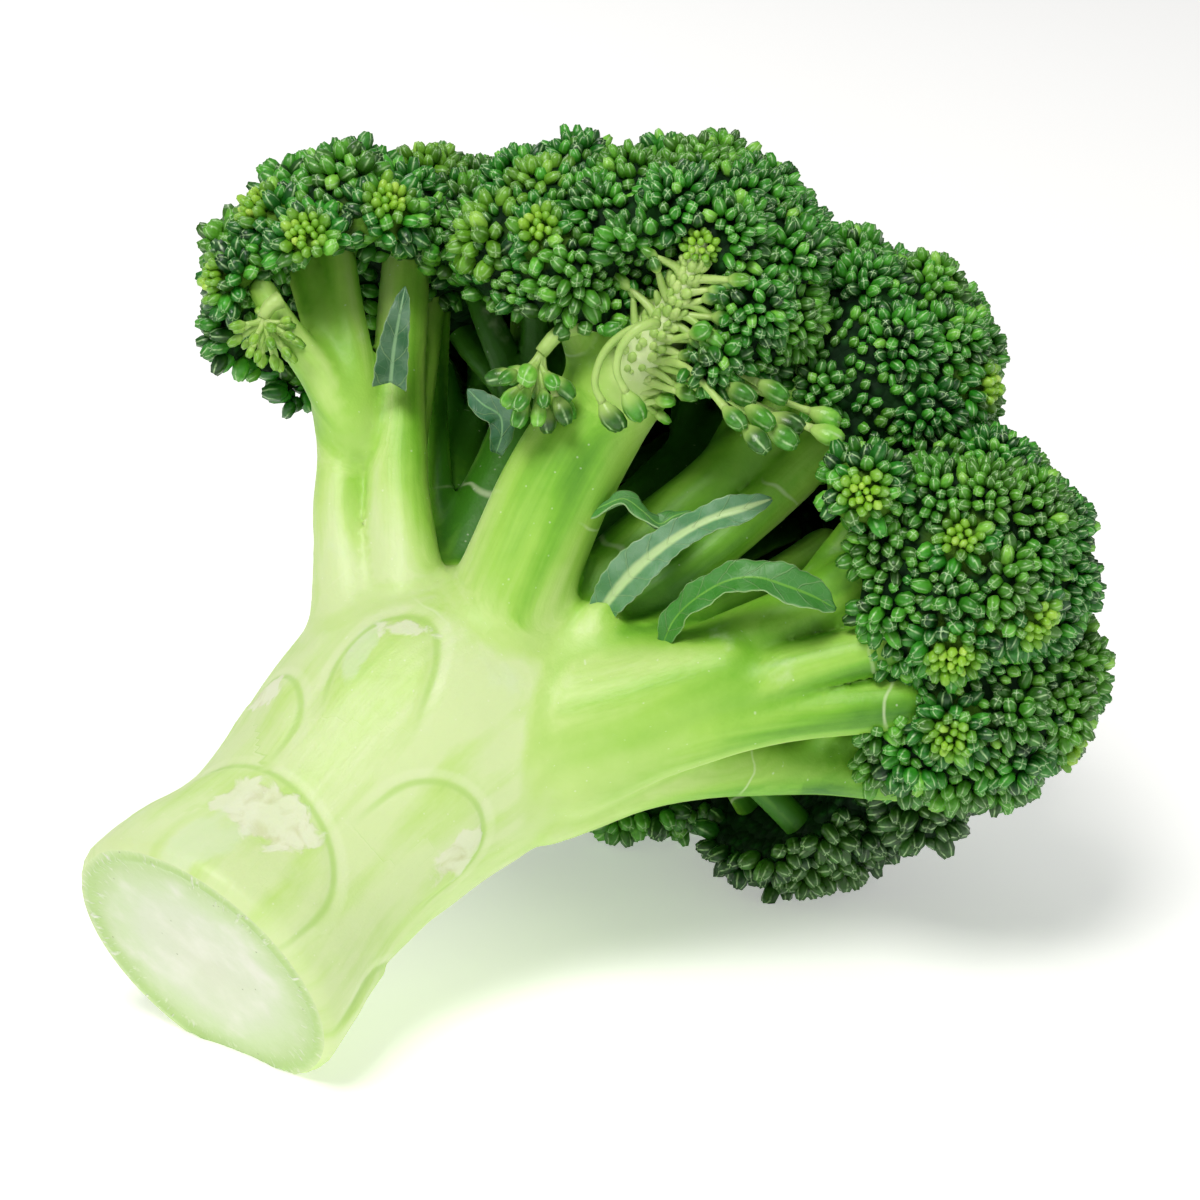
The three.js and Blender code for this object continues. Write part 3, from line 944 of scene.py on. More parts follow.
@dataclass(frozen=True)
class CutFace:
    """The wet pith of the cut end, with a fibrous green ring under the skin.

    It reads cut from the mesh: the place across the face in millimetres, and the share of the way
    from its middle to its rim.
    """

    name: str = "cut_face"
    rings: Shades = (
        (0.0, "dde2ca"), (0.5, "dae4c6"), (0.7, "cfe2b0"), (0.84, "c2db98"), (0.94, "b6d684"),
        (1.0, "cfe3a6"),
    )
    pith: str = "e9ecda"
    fibre: str = "f6f9ec"
    pit: str = "8d9a66"

    def material(self) -> bpy.types.Material:
        """Draws the material.

        Returns:
            The material.
        """
        pen = Pen(self.name)
        x, y, out = pen.split(pen.vector("cut"))
        place = pen.node("CombineXYZ", {0: x, 1: y})
        rays = pen.node("CombineXYZ", {0: pen.maths("ARCTAN2", y, x) * 22.0, 1: out * 9.0})
        feather, cloud = pen.noise(rays, 1.0, 3.0), pen.noise(place, 0.12, 3.0)
        fibres = pen.rise(feather, 0.55, 0.72) * pen.rise(out, 0.74, 0.9)
        colour = pen.coats(
            pen.ramp(out + (feather - 0.5) * 0.09, self.rings),
            (pen.rise(cloud, 0.4, 0.75) * pen.rise(out, 0.9, 0.7), self.pith),
            (fibres * 0.8, self.fibre),
            (pen.rise(pen.cells(place, 0.3), 0.07, 0.03) * 0.7, self.pit),
        )
        return pen.finish(
            colour, pen.blend(cloud, 0.28, 0.45),
            Normal=pen.relief((pen.noise(place, 0.9, 3.0), 0.12), (fibres, 0.15)),
            Subsurface_Weight=0.2, Subsurface_Radius=(0.8, 1.0, 0.6), Subsurface_Scale=0.004,
        )


@dataclass(frozen=True)
class BudSkin:
    """Closed flower buds: four sepals with pale edges, waxy, yellow-green while young.

    It reads bud from the mesh: the height along the bud, how near a seam is and the bud's own tint;
    age, 1 for the youngest; and stalked, 1 where its foot runs into a pale stem. Its pale seam lines
    are the sepals' pale edges, brightened into painted highlights where the edges catch the light.
    """

    name: str = "bud_skin"
    ripe: Shades = ((0.0, "083a0e"), (0.2, "125614"), (0.5, "247f18"), (0.8, "46a826"), (1.0, "86d048"))
    young: Shades = ((0.0, "6cae22"), (0.5, "93c830"), (1.0, "bfe058"))
    foot: str = "b5d873"
    bloom: str = "7fc070"
    # the sepals' pale edges, brightened as a painted highlight
    seam: str = "c6eaaa"

    def material(self) -> bpy.types.Material:
        """Draws the material.

        Returns:
            The material.
        """
        pen = Pen(self.name)
        height, seam, tint = pen.split(pen.vector("bud"))
        age, place = pen.value("age"), pen.place()
        mottle = pen.noise(place, 900.0)
        tone = tint + (mottle - 0.5) * 0.45
        foot = pen.rise(height, 0.62, 0.12) * pen.value("stalked")
        bloom = pen.rise(height, 0.4, 1.0) * pen.rise(mottle, 0.4, 0.7)
        # the seam lines: pale sepal edges, partly painted highlight near the tips
        line = pen.rise(seam, 0.7, 1.0) * pen.rise(height, 0.3, 0.8)
        line = line * (pen.blend(age, 0.8, 0.25) * pen.rise(mottle, 0.25, 0.55))
        colour = pen.coats(
            pen.mix(age, pen.ramp(tone, self.ripe), pen.ramp(tone, self.young)),
            (foot * 0.85, self.foot), (bloom * 0.2, self.bloom), (line, self.seam),
        )
        return pen.finish(
            colour, pen.blend(mottle, 0.26, 0.42), Normal=pen.relief((pen.noise(place, 2600.0), 0.05)),
            Specular_IOR_Level=0.5,
        )


@dataclass(frozen=True)
class SproutSkin:
    """The smooth pale skin of a bud's own thin stem. It reads bud's tint from the mesh."""

    name: str = "sprout_skin"
    pale: str = "c2dd84"
    green: str = "8abb45"

    def material(self) -> bpy.types.Material:
        """Draws the material.

        Returns:
            The material.
        """
        pen = Pen(self.name)
        tint, place = pen.split(pen.vector("bud"))[2], pen.place()
        cloud = pen.noise(place, 260.0, 3.0)
        return pen.finish(
            pen.mix(tint + (cloud - 0.5) * 0.6, self.pale, self.green), pen.blend(cloud, 0.36, 0.5),
            Normal=pen.relief((pen.noise(place, 1500.0), 0.08)),
            Subsurface_Weight=0.15, Subsurface_Radius=(0.6, 1.0, 0.3), Subsurface_Scale=0.0015,
        )


@dataclass(frozen=True)
class CrownHeart:
    """The shaded tissue that the buds sit on. It reads age from the mesh, 1 under the youngest buds."""

    name: str = "crown_heart_painted_shade"
    # the heart is painted near-black green: painted shade, for the shadow that falls between the buds
    pit_shade: str = "07240a"
    cells: str = "134412"
    cloud: str = "235a1a"
    young: str = "5d8a24"

    def material(self) -> bpy.types.Material:
        """Draws the material.

        Returns:
            The material.
        """
        pen = Pen(self.name)
        place = pen.place()
        cells, cloud = pen.cells(place, 420.0), pen.noise(place, 120.0, 3.0)
        colour = pen.coats(
            pen.mix(pen.rise(cells, 0.5, 0.1), self.pit_shade, self.cells),
            (pen.rise(cloud, 0.5, 0.7) * 0.3, self.cloud), (pen.value("age") * 0.8, self.young),
        )
        return pen.finish(
            colour, pen.blend(cloud, 0.6, 0.8), Normal=pen.relief((1.0 - cells, 1.1)), Specular_IOR_Level=0.15
        )


@dataclass(frozen=True)
class LeafSkin:
    """A small leaf's blade: grey-green with a pale midrib, fine veins and a waxy bloom.

    It reads blade from the mesh: the place across it from -1 to 1, along it in millimetres, and 1 on
    its upper face.
    """

    name: str
    upper: str = "4f8a4c"
    under: str = "86ad78"
    rib: str = "dceab2"
    rib_width: float = 0.16
    vein_gap: float = 4.2
    bloom: float = 0.35
    wax: str = "9fc0a4"
    vein: str = "a9cc8c"
    margin: str = "b7d39a"

    def material(self) -> bpy.types.Material:
        """Draws the material.

        Returns:
            The material.
        """
        pen = Pen(self.name)
        over, along, face = pen.split(pen.vector("blade"))
        place = pen.place()
        cloud, aside = pen.noise(place, 230.0, 3.0), abs(over)
        phase = (along + cloud * 2.4 - aside * 3.2) * (2 * math.pi / self.vein_gap)
        vein = pen.rise(pen.maths("COSINE", phase), 0.955, 0.995)
        net = pen.rise(pen.cells(place, 620.0, "DISTANCE_TO_EDGE"), 0.07, 0.02)
        veins = pen.maths("MAXIMUM", vein * 0.8, net * 0.15)
        colour = pen.coats(
            pen.mix(face, self.under, self.upper),
            (pen.rise(cloud, 0.35, 0.7) * self.bloom, self.wax),
            (veins * 0.3, self.vein),
            (pen.rise(aside, 0.93, 0.99) * 0.5, self.margin),
            (pen.rise(aside, self.rib_width, self.rib_width * 0.35), self.rib),
        )
        return pen.finish(
            colour, pen.blend(cloud, 0.38, 0.52),
            Normal=pen.relief((1.0 - veins, 0.12), (pen.noise(place, 1400.0), 0.05)),
            Subsurface_Weight=0.1, Subsurface_Radius=(0.5, 1.0, 0.3), Subsurface_Scale=0.001,
        )


@dataclass(frozen=True)
class StudioPaper:
    """The plain pale paper that the head lies on."""

    name: str = "studio_paper"
    shade: str = "f8f8f6"
    glow: float = 0.37

    def material(self) -> bpy.types.Material:
        """Draws the material."""
        return Pen(self.name).finish(
            paint(self.shade), 0.9, Specular_IOR_Level=0.1,
            Emission_Color=(1.0, 1.0, 1.0, 1.0), Emission_Strength=self.glow,
        )


# ------------------------------------------------------------------------------- the stalk


@dataclass(frozen=True)
class Scar:
    """The arch that a fallen leaf left on the stalk.

    Attributes:
        azimuth: Where its middle is, about the stalk.
        height: How far up the stalk its arch springs.
        half_width: Half its width in millimetres.
        rise: How far the arch rises.
        tilt: How far it leans towards larger azimuths, in degrees.
        legs: How far down from the springing its sides can be seen.
        torn: Torn patches as (aside, up, half width, half height), about the arch's middle.
        bloom: Waxy patches, given in the same way.
    """

    azimuth: float
    height: float
    half_width: float
    rise: float
    tilt: float = 0.0
    legs: float = 10.0
    torn: tuple[tuple[float, float, float, float], ...] = ()
    bloom: tuple[tuple[float, float, float, float], ...] = ()

    def chart(self, points: np.ndarray, axis: np.ndarray) -> tuple[np.ndarray, np.ndarray]:
        """Places points on the stalk's skin beside and above the arch's middle.

        Args:
            points: Points in the head's frame.
            axis: The stalk's own middle at each point's height.

        Returns:
            How far aside and how far up each point is.
        """
        away = points - axis
        azimuth = np.degrees(np.arctan2(away[:, 1], away[:, 0])) - self.azimuth
        azimuth = (azimuth + 180.0) % 360.0 - 180.0
        aside = np.radians(azimuth) * np.hypot(away[:, 0], away[:, 1])
        up = points[:, 2] - self.height
        turn = math.radians(self.tilt)
        return aside * math.cos(turn) - up * math.sin(turn), aside * math.sin(turn) + up * math.cos(turn)

    def edge(self, aside: np.ndarray, up: np.ndarray) -> tuple[np.ndarray, np.ndarray]:
        """How near places are to the arch's edge.

        Args:
            aside: How far aside they are.
            up: How far up.

        Returns:
            The distance of each one, negative inside, and how clear the edge is there.
        """
        small = min(self.half_width, self.rise)
        ring = np.hypot(aside / self.half_width, up / self.rise) - 1.0
        gap = np.where(up > 0, ring * small, np.abs(aside) - self.half_width)
        return gap, ease(up, -self.legs, 0.0)

    @staticmethod
    def patch(aside: np.ndarray, up: np.ndarray, patch: tuple[float, float, float, float]) -> np.ndarray:
        """How far a patch's edge is, negative inside."""
        x, y, width, height = patch
        return (np.hypot((aside - x) / width, (up - y) / height) - 1.0) * min(width, height)


@dataclass
class Stalk:
    """The stalk with all its branches, grown as one piece.

    Attributes:
        trunk: The stalk's middle and radius, from the cut face to the fork.
        branches: The branches on the near side, listed one by one: points, radii, melting and shade.
        fanning: Those of them that fan out, by number, with the crown and the lump that they reach.
        roots: The other branches by crown: the height at which they leave and their two radii.
        root_offset: How far from the stalk's middle they start.
        run: How far they run up before they turn outwards.
        arrival: How far they run straight into their crown.
        cell: The spacing of the grid that melts them together.
        scar_height: How far the skin stands out inside a scar.
        scar_groove: How deep the groove along a scar's edge is.
        torn_depth: How deep the skin is torn.
        rib_height: How high the ribs along the branches are.
        swell_height: How high the skin's broad swellings are.
        cut_rounding: How far the cut's edge is rounded off.
        cut_rings: Where the cut face's rings of points lie, as shares of the way to its rim.
        cut_ridge: The place, width and height of the ridge along its rim.
        cut_hollow: How deep its middle is sunk.
    """

    trunk: tuple[tuple[float, ...], ...] = (
        (-5.9, 3.3, -4.0, 24.6), (-5.8, 3.4, 1.0, 24.4), (-5.2, 3.5, 8.0, 22.4), (-4.6, 3.7, 19.0, 20.7),
        (-4.3, 3.9, 31.0, 21.4), (-4.0, 3.9, 42.0, 23.2), (-2.8, 2.8, 54.0, 25.4), (0.0, 0.0, 66.0, 20.0),
        (0.0, 0.0, 76.0, 10.0),
    )
    branches: tuple[tuple, ...] = (
        # the left branch: two lobes side by side, then its forks
        (((-10, 4, 43), (-17.5, 9.5, 52), (-24.5, 15.5, 59), (-31.5, 21, 66.5), (-38, 25, 74.5),
          (-44.5, 29, 81), (-51, 33, 87)), (10, 9, 6.9, 4.8, 3.9, 3.9, 3.9), 3.0, -0.05),
        (((-10, 2.5, 48), (-17.5, 6, 58), (-25.5, 10.5, 67), (-32, 15, 74.5), (-37.5, 19, 82),
          (-41.5, 22.5, 88.5), (-47, 26, 96.5), (-52.5, 29.5, 104.5)),
         (10, 8.4, 6.4, 5, 4.6, 4.2, 3.6), 0.6, -0.03),
        (((-31, 19, 79), (-35.5, 23.5, 89.5), (-40.5, 28, 100), (-44.5, 32.5, 109.5)), (3.6, 3.2, 2.8), 1.5),
        (((-9.5, 11, 63.5), (-14, 17.5, 76), (-20, 25.5, 88.5), (-26.5, 33.5, 101), (-33, 39.5, 112.5)),
         (5, 2.8, 2.1, 2.1), 2.0, 0.3),
        (((-39.2, 22.4, 76.7), (-47, 26.9, 82.3), (-54, 33.8, 87.7), (-59.5, 40.4, 93.5), (-63.5, 45.5, 98)),
         (3.6, 3.6, 3.2, 3), 1.0),
        (((-39, 22, 77.2), (-46.9, 24.8, 83.6), (-53.8, 30.2, 90.3), (-59.1, 35.6, 96.9),
          (-62.5, 39.5, 101.5)), (3.4, 3.4, 3, 3), 0.8),
        (((-42.4, 23.7, 77.6), (-50.4, 27.6, 79.2), (-57.8, 31.6, 79.8), (-63.9, 35.1, 81.5)),
         (4.2, 3, 2.4), 2.0),
        # the middle branch, with the knobbly stem that shows in its crown
        (((-3, 0, 42), (-9.4, -4.2, 58.3), (-20.7, -6.2, 75.5), (-28.7, -7.6, 88.7), (-35.7, -11.2, 101.3),
          (-42.9, -16, 113.8)), (12, 11, 9.6, 8.8, 8.2, 7.6), 3.0),
        (RIM_STEM, (5.4, 3.6, 2.5, 1.5), 3.0, -0.7),
        (((-36.2, -12.1, 101), (-44.4, -8.7, 104), (-51.1, -6.6, 106.5), (-56.8, -3.5, 110.9)),
         (4.6, 3.6), 2.5),
        (((-39, -15.3, 106), (-42.8, -20.1, 115.2), (-43.3, -24.4, 123.1)), (5, 4), 2.5),
        # the upper branch: two stems side by side
        (((-5, -5, 64), (-9.3, -9.5, 82), (-11.8, -14.5, 97), (-14.3, -20, 110.6), (-17.3, -26, 123.6)),
         (6.5, 5.4, 5, 4.8), 2.4),
        (((-3.5, -9.5, 65), (-6.8, -15.9, 80.8), (-8.8, -22.4, 94.8), (-11.3, -27.9, 108.3),
          (-14.8, -32.9, 120.3)), (5, 3.9, 3.6, 3.8), 0.4),
        (((-4.5, -14, 70), (-5.7, -22.9, 80), (-1.7, -25, 91.5), (1, -28.5, 102.4), (3, -31, 113)),
         (4.5, 4, 3.6, 3.6), 1.5, 0.3),
        # the right branch: a thick root that fans out into four stems
        (((2, -2, 38), (0.5, -8, 51), (-0.9, -16.6, 62.3), (-1.2, -27.4, 73.1), (-1.4, -36, 82)),
         (13, 12.4, 11.6, 10, 7), 4.0, 0.06),
        (((0.5, -17, 60.5), (-1.5, -25.5, 73), (-2, -33.5, 84.5), (-2, -40.5, 96.5), (-2.5, -47, 107.5)),
         (9, 7.4, 6.2, 5.2, 4.8), 0.9, 0.1),
        (((0.5, -20, 60.5), (-1, -30, 72), (-0.5, -39.5, 81.5), (0.5, -48, 91.5), (2, -55.5, 99.5)),
         (8.5, 6.6, 5, 4.2, 3.8), 0.6, 0.06),
        (((2, -19.5, 59.5), (2.5, -30.5, 70), (4, -41, 79.5), (7.5, -49.5, 88), (10.5, -57, 95.5)),
         (9, 6.8, 5.3, 4.5, 4.2), 0.6, 0.02),
        (((7, -14, 55), (10.5, -24.5, 67.5), (16, -35, 78), (23.5, -43.5, 87.5), (30.5, -50.5, 94.5)),
         (8.8, 6.8, 5.5, 4.7, 4.3), 1.0, 0.06),
        # the stub that the long leaf springs from
        (((-4, -14, 64), (-9.5, -17, 72), (-12.8, -18.4, 77.4)), (6, 3.6, 2.2), 6.0, -0.12),
    )
    fanning: tuple[tuple[int, str, int], ...] = ((15, "right", 1), (18, "right", 0), (11, "upper", 0))
    roots: dict[str, tuple[float, float, float]] = field(default_factory=lambda: {
        "left_back": (46, 8, 5), "far": (43, 8, 5.2), "far_low": (41, 8, 5.5), "ground_far": (43, 8, 5.5),
        "ground_near": (45, 8, 5.5), "crest_left": (55, 7, 5), "crest_far": (57, 7, 5),
        "crest_low": (57, 7, 5), "crest_right": (53, 7, 5.5), "apex": (57, 9, 6.5),
    })
    scars: tuple[Scar, ...] = (
        Scar(196, 9, 20, 15, 0, 10, torn=((2.5, 9.0, 9.0, 5.0),), bloom=((-0.5, 1.5, 4.5, 9.0),)),
        Scar(160, 31.5, 9.5, 8, 0, 8, torn=((-2.5, 4.6, 5.0, 3.0),)),
        Scar(200, 46, 7.5, 12.2, -25, 9, torn=((0.0, 10.4, 4.4, 2.6),), bloom=((-4.5, 2.5, 1.8, 8.5),)),
        Scar(262, 32, 10.5, 9.5, 4, 8, torn=((6.0, 4.6, 3.6, 6.4),)),
        Scar(30, 14, 15, 13, 0, 9, torn=((0, 9, 6, 3),)),
        Scar(318, 8, 12, 10, 0, 9, torn=((2, 7, 5, 2.6),)),
        Scar(95, 26, 12, 11, 0, 8, torn=((-2, 8, 5, 2.4),)),
        Scar(345, 44, 9, 9, 0, 8, torn=((1, 7, 4, 2),)),
    )
    root_offset: float = 12.0
    run: float = 20.0
    arrival: float = 22.0
    cell: float = 1.08
    scar_height: float = 0.4
    scar_groove: float = 0.2
    torn_depth: float = 0.25
    rib_height: float = 0.25
    swell_height: float = 0.5
    cut_rounding: float = 1.2
    cut_rings: tuple[float, ...] = (0.985, 0.96, 0.93, 0.9, 0.86, 0.8, 0.72, 0.62, 0.5, 0.38, 0.26, 0.14)
    cut_ridge: tuple[float, float, float] = (0.93, 0.03, 0.35)
    cut_hollow: float = 0.5

    def axis(self, heights: np.ndarray) -> np.ndarray:
        """The stalk's middle at some heights."""
        stations = np.array(self.trunk)
        middle = [np.interp(heights, stations[:, 2], stations[:, axis]) for axis in (0, 1)]
        return np.stack([*middle, heights], axis=-1)

    def rooted(self, crown: "Crown") -> Limb:
        """Grows a branch from a stated height of the stalk, bending out to its crown.

        Args:
            crown: The crown.

        Returns:
            The branch.
        """
        height, first, last = self.roots[crown.name]
        out = unit(crown.lumps[0].centre - DOME)
        level = unit(out * [1.0, 1.0, 0.0])
        aside = 0.0 if crown.name == "apex" else self.root_offset
        start = self.axis(np.array(float(height))) + level * aside
        end = DOME + out * (CROWN_REACH + 2.0)
        route = bezier(start, start + [0.0, 0.0, self.run], end - out * self.arrival, end, 6)
        # a shade of 0.42: painted shade, darker green for branches that run deep inside the head
        return Limb(route, (first, last), 2.0, 0.42)

    def fan(self, branch: Limb, lump: "Lump", count: int, rng: np.random.Generator) -> list[Limb]:
        """The stems that a branch spreads into under its crown.

        Args:
            branch: The branch.
            lump: The lump of buds that they carry.
            count: How many there are.
            rng: The random draws.

        Returns:
            The stems.
        """
        side, up = (v[0] for v in across(unit(lump.centre - DOME)[None]))
        found = []
        for number in range(count):
            turn = 2 * math.pi * (number + rng.uniform(-0.2, 0.2)) / count
            spread = lump.radius * rng.uniform(0.5, 0.68)
            way = unit(lump.centre + (side * math.cos(turn) + up * math.sin(turn)) * spread - DOME)
            tip = DOME + way * (CROWN_REACH + 3.0)
            root = int(len(branch.line.points) * rng.uniform(0.5, 0.66))
            start, along = branch.line.points[root], branch.line.along[root]
            length = np.linalg.norm(tip - start)
            meeting = tip - unit(tip - DOME) * length * 0.3
            route = bezier(start, start + along * length * 0.42, meeting, tip, 5)
            thick = branch.radius[root] * 0.5
            found.append(Limb(route, (thick, 2.6, rng.uniform(1.9, 2.5)), 0.9, branch.shade + 0.1))
        return found

    def limbs(self, crowns: Sequence["Crown"]) -> list[Limb]:
        """Grows all that the stalk carries.

        Args:
            crowns: The crowns that the branches lead to.

        Returns:
            The limbs, in the order in which they are melted on.
        """
        rng = np.random.default_rng(7)
        stations = np.array(self.trunk)
        grown = [Limb(stations[:, :3], tuple(self._evenly(stations)), 1.0)]
        grown += [Limb(*branch) for branch in self.branches]
        for crown in crowns:
            if crown.name in self.roots:
                branch = self.rooted(crown)
                grown += [branch, *self.fan(branch, crown.lumps[0], 6, rng)]
        by_name = {crown.name: crown for crown in crowns}
        for number, name, lump in self.fanning:
            grown += self.fan(grown[1 + number], by_name[name].lumps[lump], 5, rng)
        return grown

    @staticmethod
    def _evenly(stations: np.ndarray) -> np.ndarray:
        """The trunk's radii at places evenly spaced along it."""
        gaps = np.linalg.norm(np.diff(stations[:, :3], axis=0), axis=1)
        lengths = np.concatenate([[0.0], np.cumsum(gaps)])
        return np.interp(np.linspace(0, lengths[-1], 24), lengths, stations[:, 3])

    def flesh(self, limbs: Sequence[Limb]) -> tuple[np.ndarray, np.ndarray]:
        """Melts the limbs into one surface.

        Args:
            limbs: What grows out of the stalk.

        Returns:
            The surface's points and four-cornered faces, with the stalk's end not yet cut.
        """
        low = np.min([limb.low for limb in limbs], axis=0)
        grid = Grid(low, np.max([limb.high for limb in limbs], axis=0), self.cell)
        for limb in limbs:
            grid.melt(limb)
        return grid.surface(3)

    def cut(self, points: np.ndarray, faces: np.ndarray) -> tuple[np.ndarray, list[np.ndarray], np.ndarray]:
        """Cuts the stalk's end off square.

        Args:
            points: The surface's points.
            faces: Its four-cornered faces.

        Returns:
            The points that stay, the faces of three and four corners, and the cut's edge in order.
        """
        mesh = bpy.data.meshes.new("whole")
        mesh.from_pydata(points.tolist(), [], faces.tolist())
        work = bmesh.new()
        work.from_mesh(mesh)
        bpy.data.meshes.remove(mesh)
        bmesh.ops.bisect_plane(
            work, geom=[*work.verts, *work.edges, *work.faces], plane_co=CUT.middle, plane_no=CUT.normal,
            dist=1e-4, clear_inner=True,
        )
        bmesh.ops.triangulate(work, faces=[face for face in work.faces if len(face.verts) > 4])
        work.verts.index_update()
        kept = np.array([vert.co for vert in work.verts])
        split: dict[int, list[list[int]]] = {3: [], 4: []}
        for face in work.faces:
            split[len(face.verts)].append([vert.index for vert in face.verts])
        after = {}
        for edge in work.edges:
            if len(edge.link_faces) == 1:
                loop = edge.link_loops[0]
                after[loop.vert.index] = loop.link_loop_next.vert.index
        work.free()
        rim = [next(iter(after))]
        while after[rim[-1]] != rim[0]:
            rim.append(after[rim[-1]])
        corners = [np.array(split[size]).reshape(-1, size) for size in (3, 4)]
        return kept, corners, np.array(rim)

    def dress(
        self, points: np.ndarray, normals: np.ndarray, limbs: Sequence[Limb]
    ) -> tuple[np.ndarray, dict[str, np.ndarray]]:
        """Carves the scars and ribs into the skin, and paints what its finish reads.

        Args:
            points: The surface's points.
            normals: The directions it looks in.
            limbs: The limbs it was melted from.

        Returns:
            The points in their new places, and the painted values.
        """
        told, pure = self._fibres(points, limbs)
        fibre, stripe, shade = told[:, :3], told[:, 3] * pure, told[:, 4]
        axis = self.axis(np.clip(points[:, 2], -4, 66))
        away = np.linalg.norm((points - axis)[:, :2], axis=1)
        on_trunk = ease(away, 34.0, 27.0) * ease(points[:, 2], 72.0, 64.0)
        edge, torn = np.full((2, len(points)), 9.0)
        clear, bloom, relief = np.zeros((3, len(points)))
        for scar in self.scars:
            aside, up = scar.chart(points, axis)
            gap, seen = scar.edge(aside, up)
            nearer = (np.abs(gap) < np.abs(edge)) & (seen > 0.01) & (on_trunk > 0.2)
            edge = np.where(nearer, gap, edge)
            clear = np.where(nearer, seen * on_trunk, clear)
            inside = ease(gap, 0.3, -1.6) * ease(gap, -9.0, -2.0)
            groove = self.scar_groove * np.exp(-((gap - 0.4) / 0.8) ** 2)
            relief += seen * on_trunk * (self.scar_height * inside - groove)
            for patch in scar.torn:
                lost = np.maximum(scar.patch(aside, up, patch), gap + 0.5)
                torn = np.minimum(torn, np.where(on_trunk > 0.5, lost, 9.0))
            for patch in scar.bloom:
                bloom = np.maximum(bloom, ease(scar.patch(aside, up, patch), 2.0, -2.0) * on_trunk)
        relief -= self.torn_depth * ease(torn, 0.5, -1.0)
        ribs = ripple(fibre * [1.0, 1.0, 0.12], 5.0, 3.0)
        swell = ripple(points, 16.0, 11.0)
        relief += self.rib_height * ribs * pure * ease(fibre[:, 2], 12, 60) + self.swell_height * swell
        height = (points - CUT.middle) @ CUT.normal
        level = points - axis
        level = unit(level - (level @ CUT.normal)[:, None] * CUT.normal)
        rounding = self.cut_rounding * (1.0 - np.clip(height / 1.8, 0.0, 1.0)) ** 2
        moved = points + normals * (relief * ease(height, 0.0, 1.5))[:, None] - level * rounding[:, None]
        node = ease(ripple(points, 14.0, 31.0), 0.0, 0.3) * ease(fibre[:, 2], 56, 66) * pure
        # painted shade: near the head's middle, deep among the branches where shade falls, the skin is
        # painted darker green and given less bloom
        inner = ease(np.linalg.norm(points[:, :2], axis=1), 34.0, 16.0) * ease(points[:, 2], 66.0, 82.0)
        branching = ease(fibre[:, 2], 42, 62)
        green = 0.04 + 0.5 * ease(fibre[:, 2], 56, 106) + 0.12 * swell + 0.07 * ribs + 0.4 * inner
        # the limbs' shade: their own tone, and painted shade on the branches deep inside
        green += branching * (0.16 * stripe + shade + 0.1 * (1.0 - pure))
        wax = 0.26 + 0.4 * ripple(points, 9.0, 21.0) + 0.6 * bloom - 0.8 * inner - 0.12 * stripe * branching
        scar, skin = np.stack([edge, clear, torn], axis=1), np.stack([node, wax, green], axis=1)
        return moved, {"fibre": fibre, "scar": scar, "skin": skin, "pure": pure}

    def _fibres(self, points: np.ndarray, limbs: Sequence[Limb]) -> tuple[np.ndarray, np.ndarray]:
        """How the fibres run at points.

        Args:
            points: The points.
            limbs: The limbs that they may belong to.

        Returns:
            The place of each point across and along the fibres, its stripe and its shade, all blended
            between the limbs near it, and how purely it belongs to one of them.
        """
        total = np.zeros((len(points), 5))
        weight = np.full(len(points), 1e-9)
        strongest = np.zeros(len(points))
        for limb in limbs:
            near = np.all((points > limb.low - 4) & (points < limb.high + 4), axis=1)
            if not near.any():
                continue
            gap, place = limb.fibres(points[near])
            share = np.exp(-np.maximum(gap, -1.0) / 0.8)
            total[near] += place * share[:, None]
            weight[near] += share
            strongest[near] = np.maximum(strongest[near], share)
        return total / weight[:, None], ease(strongest / weight, 0.7, 0.97)

    def cap(self, draft: Draft, rim: np.ndarray, points: np.ndarray) -> None:
        """Closes the cut end with a slightly sunk, fibrous face.

        Args:
            draft: The piece, which already has the skin.
            rim: The numbers of the cut's edge points, in order.
            points: Their places.
        """
        edge = points[rim]
        middle = edge.mean(axis=0)
        ridge, width, height = self.cut_ridge
        side, up = (v[0] for v in across(CUT.normal[None]))
        rings, marks = [], []
        for share in self.cut_rings:
            ring = middle + (edge - middle) * share
            level = height * math.exp(-(((share - ridge) / width) ** 2))
            level -= self.cut_hollow * (1 - share) ** 0.5
            bumps = ripple(ring, 5.0, 41.0) * 0.16 + ripple(ring, 1.6, 43.0) * 0.1 * (share > 0.8)
            rings.append(ring - CUT.normal * (level + bumps)[:, None] if share < 0.98 else ring)
            marks.append(self._cut_marks(ring - middle, share, side, up))
        rings.append(middle[None] + CUT.normal * 0.45)
        marks.append(np.array([[0.0, 0.0, 0.0]]))
        count = len(rim)
        start = draft.add(np.concatenate(rings), [], cut=np.concatenate(marks))
        here = np.arange(count)
        after = (here + 1) % count
        numbers = [rim, *(start + ring * count + here for ring in range(len(self.cut_rings)))]
        for outer, inner in zip(numbers, numbers[1:]):
            draft.faces.append((np.stack([outer[after], outer, inner, inner[after]], axis=1), 1))
        last = numbers[-1]
        centre = np.full(count, start + len(self.cut_rings) * count)
        draft.faces.append((np.stack([last[after], last, centre], axis=1), 1))
        draft.sharp.append(np.stack([rim, rim[after]], axis=1))

    @staticmethod
    def _cut_marks(away: np.ndarray, share: float, side: np.ndarray, up: np.ndarray) -> np.ndarray:
        """What the cut face's finish reads, for points away from its middle."""
        return np.stack([away @ side, away @ up, np.full(len(away), share)], axis=1)

